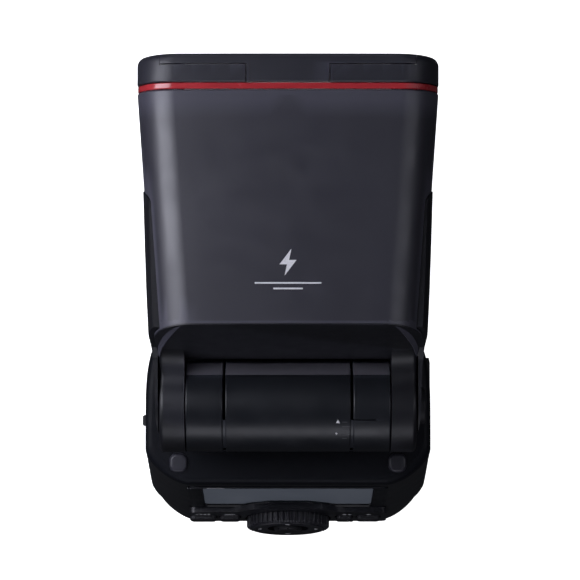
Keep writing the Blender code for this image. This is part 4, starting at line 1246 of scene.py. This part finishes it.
def make_foot():
    low, high = limits("foot_base")
    block_top = 9.0
    pin_bore = 1.25
    base = stack([
        (z, pill(0, 0, high.x - pull, high.y - pull, 4.0))
        for z, pull in ((low.z, 1.4), (low.z + 0.5, 0.4), (low.z + 1.2, 0.0), (block_top - 0.8, 0.0),
                        (block_top - 0.2, 0.3), (block_top, 1.0))
    ])
    base = join(base, rod(7.7, ORIGIN, UP, block_top - 1, high.z, 64))
    pin = limits("lock_pin")
    spot = ((pin[0].x + pin[1].x) / 2, (pin[0].y + pin[1].y) / 2, 0)
    base = cut(base, rod(pin_bore, spot, UP, 0, 12, 24))
    piece(base, "foot_block", "body", CASE_LOOK, ["foot_base"], 0.2)

    low, high = limits("shoe_plate")
    neck = 6.2
    flange = 2.0
    half, length = high.x, high.y
    t_shape = [(-half, 0), (half, 0), (half, flange), (neck, flange), (neck, high.z), (-neck, high.z),
               (-neck, flange), (-half, flange)]
    plate = prism(t_shape, "Y", -length, length)
    plate = common(plate, prism(pill(0, 0, half, length, 1.2), "Z", -2, 12))
    tray = prism(pill(0, -0.5, 5.3, 5.3, 1.0), "Z", -1, 1.4)
    plate = cut(plate, tray, rod(pin_bore, spot, UP, -1, 12, 24))
    for number in range(1, 5):
        s_low, s_high = limits(f"foot_screw_{number}")
        place = ((s_low.x + s_high.x) / 2, (s_low.y + s_high.y) / 2, 0)
        hole = turned([(1.9, -0.1), (1.5, 0.4), (1.5, 1.2)], 32, place, UP)
        plate = cut(plate, hole, rod(0.9, place, UP, 1, 6, 16))
        head = turned([(1.1, 0.1), (1.3, 0.2), (1.35, 0.9), (0.6, 1.1), (0.6, 7.0)], 32, place, UP)
        head = cut(head, *cross_slot(place[0], place[1], 0.8, 0.15, 0, 0.6))
        piece(head, f"screw_{number}", "body", STEEL_LOOK, [f"foot_screw_{number}"])
    piece(plate, "shoe", "body", STEEL_LOOK, ["shoe_plate"], 0.2)
    block = prism(pill(0, -0.5, 5.0, 5.0, 0.8), "Z", 0.15, 1.1)
    contacts = []
    for x, y in ((0, 0), (-3.2, 2.6), (3.2, 2.6), (-3.2, -3.2), (3.2, -3.2)):
        block = cut(block, rod(1.15, (x, y, 0), UP, -1, 0.6, 32))
        contacts.append(turned([(0.3, 0.0), (0.7, 0.08), (0.85, 0.3), (0.85, 0.7)], 32, (x, y, 0), UP))
    piece(block, "contact_base", "body", INNER_LOOK, ["contact_block"])
    piece(heap(contacts), "contacts", "body", GOLD_LOOK, ["contact_block"])


def make_lever():
    low, high = limits("foot_lock_lever")
    radius = high.x
    soft = 0.4
    inside = radius - soft
    ring = [(inside, low.z), (radius, low.z + soft), (radius, high.z - soft), (inside, high.z)]
    ring = turned(ring, 96, ORIGIN, UP)
    arm = prism(pill(0, (low.y - 8) / 2, 6.0, (-8 - low.y) / 2, 1.5), "Z", low.z, high.z)
    lever = cut(join(ring, arm), rod(8.0, ORIGIN, UP, 5, 15, 64))
    lever = cut(lever, box((-2.9, 2.9), (-35, -24.8), (5, 15)))
    ribs = []
    for x in (-5.4, -4.4, 4.0, 5.0):
        ribs.append(box((x, x + 0.5), (low.y - 1, low.y + 3), (high.z - 0.35, 14)))
    piece(cut(lever, heap(ribs)), "lever", "lock_lever", SIDE_LOOK, ["foot_lock_lever"], 0.25)
    low, high = limits("lock_release_button")
    button = box((low.x, high.x), (low.y, high.y), (low.z, high.z), 0.5, 4)
    groove = [box((-1.8, 1.8), (low.y - 1, low.y + 0.25), (z, z + 0.35)) for z in (10.1, 10.8)]
    piece(cut(button, heap(groove)), "release_button", "lock_release", BUTTON_LOOK,
          ["lock_release_button"])


def make_base_plate():
    low, high = limits("bottom_plate")
    plate = body_solid([(low.z, 6.1), (low.z + 0.3, 5.8), (high.z, 5.1)])
    heads = []
    for x in (-27, 27):
        for y in (-17, 14):
            plate = cut(plate, rod(1.7, (x, y, 0), UP, low.z - 1, low.z + 0.9, 32))
            profile = [(1.2, low.z + 0.15), (1.45, low.z + 0.35), (1.45, low.z + 0.85)]
            screw = turned(profile, 32, (x, y, 0), UP)
            heads.append(cut(screw, *cross_slot(x, y, 0.9, 0.17, low.z - 1, low.z + 0.5)))
    piece(plate, "base_plate", "body", SIDE_LOOK, ["bottom_plate"], 0.2)
    piece(heap(heads), "base_screws", "body", STEEL_LOOK)


def dress_inner_nodes():
    """Materials for the CAD nodes that stay as they are."""
    looks = {
        "zoom_reflector": MIRROR_LOOK, "flash_tube": TUBE_LOOK, "lead_screw": STEEL_LOOK,
        "guide_rod": STEEL_LOOK, "zoom_motor": STEEL_LOOK, "hinge_shaft": STEEL_LOOK,
        "lock_pin": STEEL_LOOK, "swivel_clip_ring": STEEL_LOOK, "sync_terminal": GOLD_LOOK,
        "main_board": BOARD_LOOK, "lcd_module": SCREEN_LOOK,
    }
    for name, node in frame["nodes"].items():
        if node.hide_render:
            continue
        node.data.materials.clear()
        node.data.materials.append(looks.get(name, INNER_LOOK))
        node.data.shade_smooth()
        node.data.set_sharp_from_angle(angle=math.radians(35))


# ---- stage ------------------------------------------------------------------

def pale_stage_look(name):
    look = Look(name, 0.9)
    look.paint(
        Base_Color=look.blend(look.noise(300.0), (0.9, 0.9, 0.9), (0.92, 0.92, 0.92)),
        Roughness=look.ramp(look.noise(60.0), 0.3, 0.7, 0.86, 0.94),
        Emission_Color=(1.0, 1.0, 1.0, 1.0),
        Emission_Strength=1.15,
    )
    return look.material


def stage_piece(made, name):
    """Put a pale piece of the set in place, seen by the camera but not by the flash's surfaces."""
    made.name = name
    made.data.materials.append(pale_stage_look(f"{name}_white"))
    made.visible_glossy = False
    made.visible_diffuse = False


def make_floor():
    """A plain pale floor under a wide round backdrop."""
    wide = 4000
    bm = bmesh.new()
    bmesh.ops.create_circle(bm, cap_ends=True, radius=wide, segments=64)
    bmesh.ops.translate(bm, vec=(0, 0, -0.4), verts=bm.verts)
    stage_piece(to_object(bm), "floor")
    wall = wide - 20
    profile = [(wall, -0.2), (wall, 400), (3600, 1500), (2600, 2700), (1200, 3300), (5, 3400)]
    dome = turned(profile, 64, ORIGIN, UP)
    dome.visible_shadow = False
    stage_piece(dome, "backdrop")


LAMP_COLOUR = (0.94, 0.95, 1.06)


def area_light(name, place, target, size, power):
    data = bpy.data.lights.new(name, "AREA")
    data.shape = "RECTANGLE"
    data.size, data.size_y = size
    data.energy = power
    data.color = LAMP_COLOUR
    lamp = bpy.data.objects.new(name, data)
    bpy.context.scene.collection.objects.link(lamp)
    lamp.location = place
    lamp.visible_camera = False
    away = Vector(place) - Vector(target)
    lamp.rotation_euler = away.to_track_quat("Z", "Y").to_euler()


def make_lights():
    target = (0.0, 0.03, 0.12)
    area_light("key_box", (-0.18, 0.07, 0.29), (0, 0.05, 0.13), (0.10, 0.24), 0.54)
    area_light("left_box", (-0.50, 0.04, 0.46), target, (0.16, 0.5), 0.5)
    area_light("low_left", (-0.85, -0.05, 0.42), target, (0.12, 0.8), 0.9)
    area_light("right_box", (0.52, 0.05, 0.66), target, (0.12, 0.7), 0.8)
    area_light("rear_box", (-0.10, -0.9, 0.50), target, (0.8, 0.40), 2.5)
    area_light("front_box", (-0.15, 0.85, 0.55), target, (0.6, 0.2), 0.9)
    world = bpy.data.worlds.new("studio")
    bpy.context.scene.world = world
    world.use_nodes = True
    fill = world.node_tree.nodes["Background"]
    fill.inputs["Color"].default_value = (0.9, 0.93, 1.0, 1.0)
    fill.inputs["Strength"].default_value = 0.02


def make_camera():
    """Almost straight down, from about 0.89 m up."""
    data = bpy.data.cameras.new("camera")
    data.sensor_width = 36.0
    photo_side, focal = 580, 2749
    data.lens = focal / photo_side * 36.0
    data.shift_x = 2.0 / photo_side
    data.clip_start = 0.01
    camera = bpy.data.objects.new("camera", data)
    bpy.context.scene.collection.objects.link(camera)
    camera.location = (0.0, 0.005657, 0.888549)
    camera.rotation_euler = (math.radians(2.0), 0.0, 0.0)
    bpy.context.scene.camera = camera


make_camera()
make_head_shells()
make_rear_moulding()
make_red_ring()
make_front()
make_side_panels()
make_bounce_button()
make_head_mark()
make_neck()
make_deck()
make_cases()
make_screen()
make_control_plate()
make_dial()
make_joystick()
make_buttons()
make_door()
make_flap()
make_foot()
make_lever()
make_base_plate()
dress_inner_nodes()
make_floor()
make_lights()
bpy.context.scene.view_settings.view_transform = "Standard"
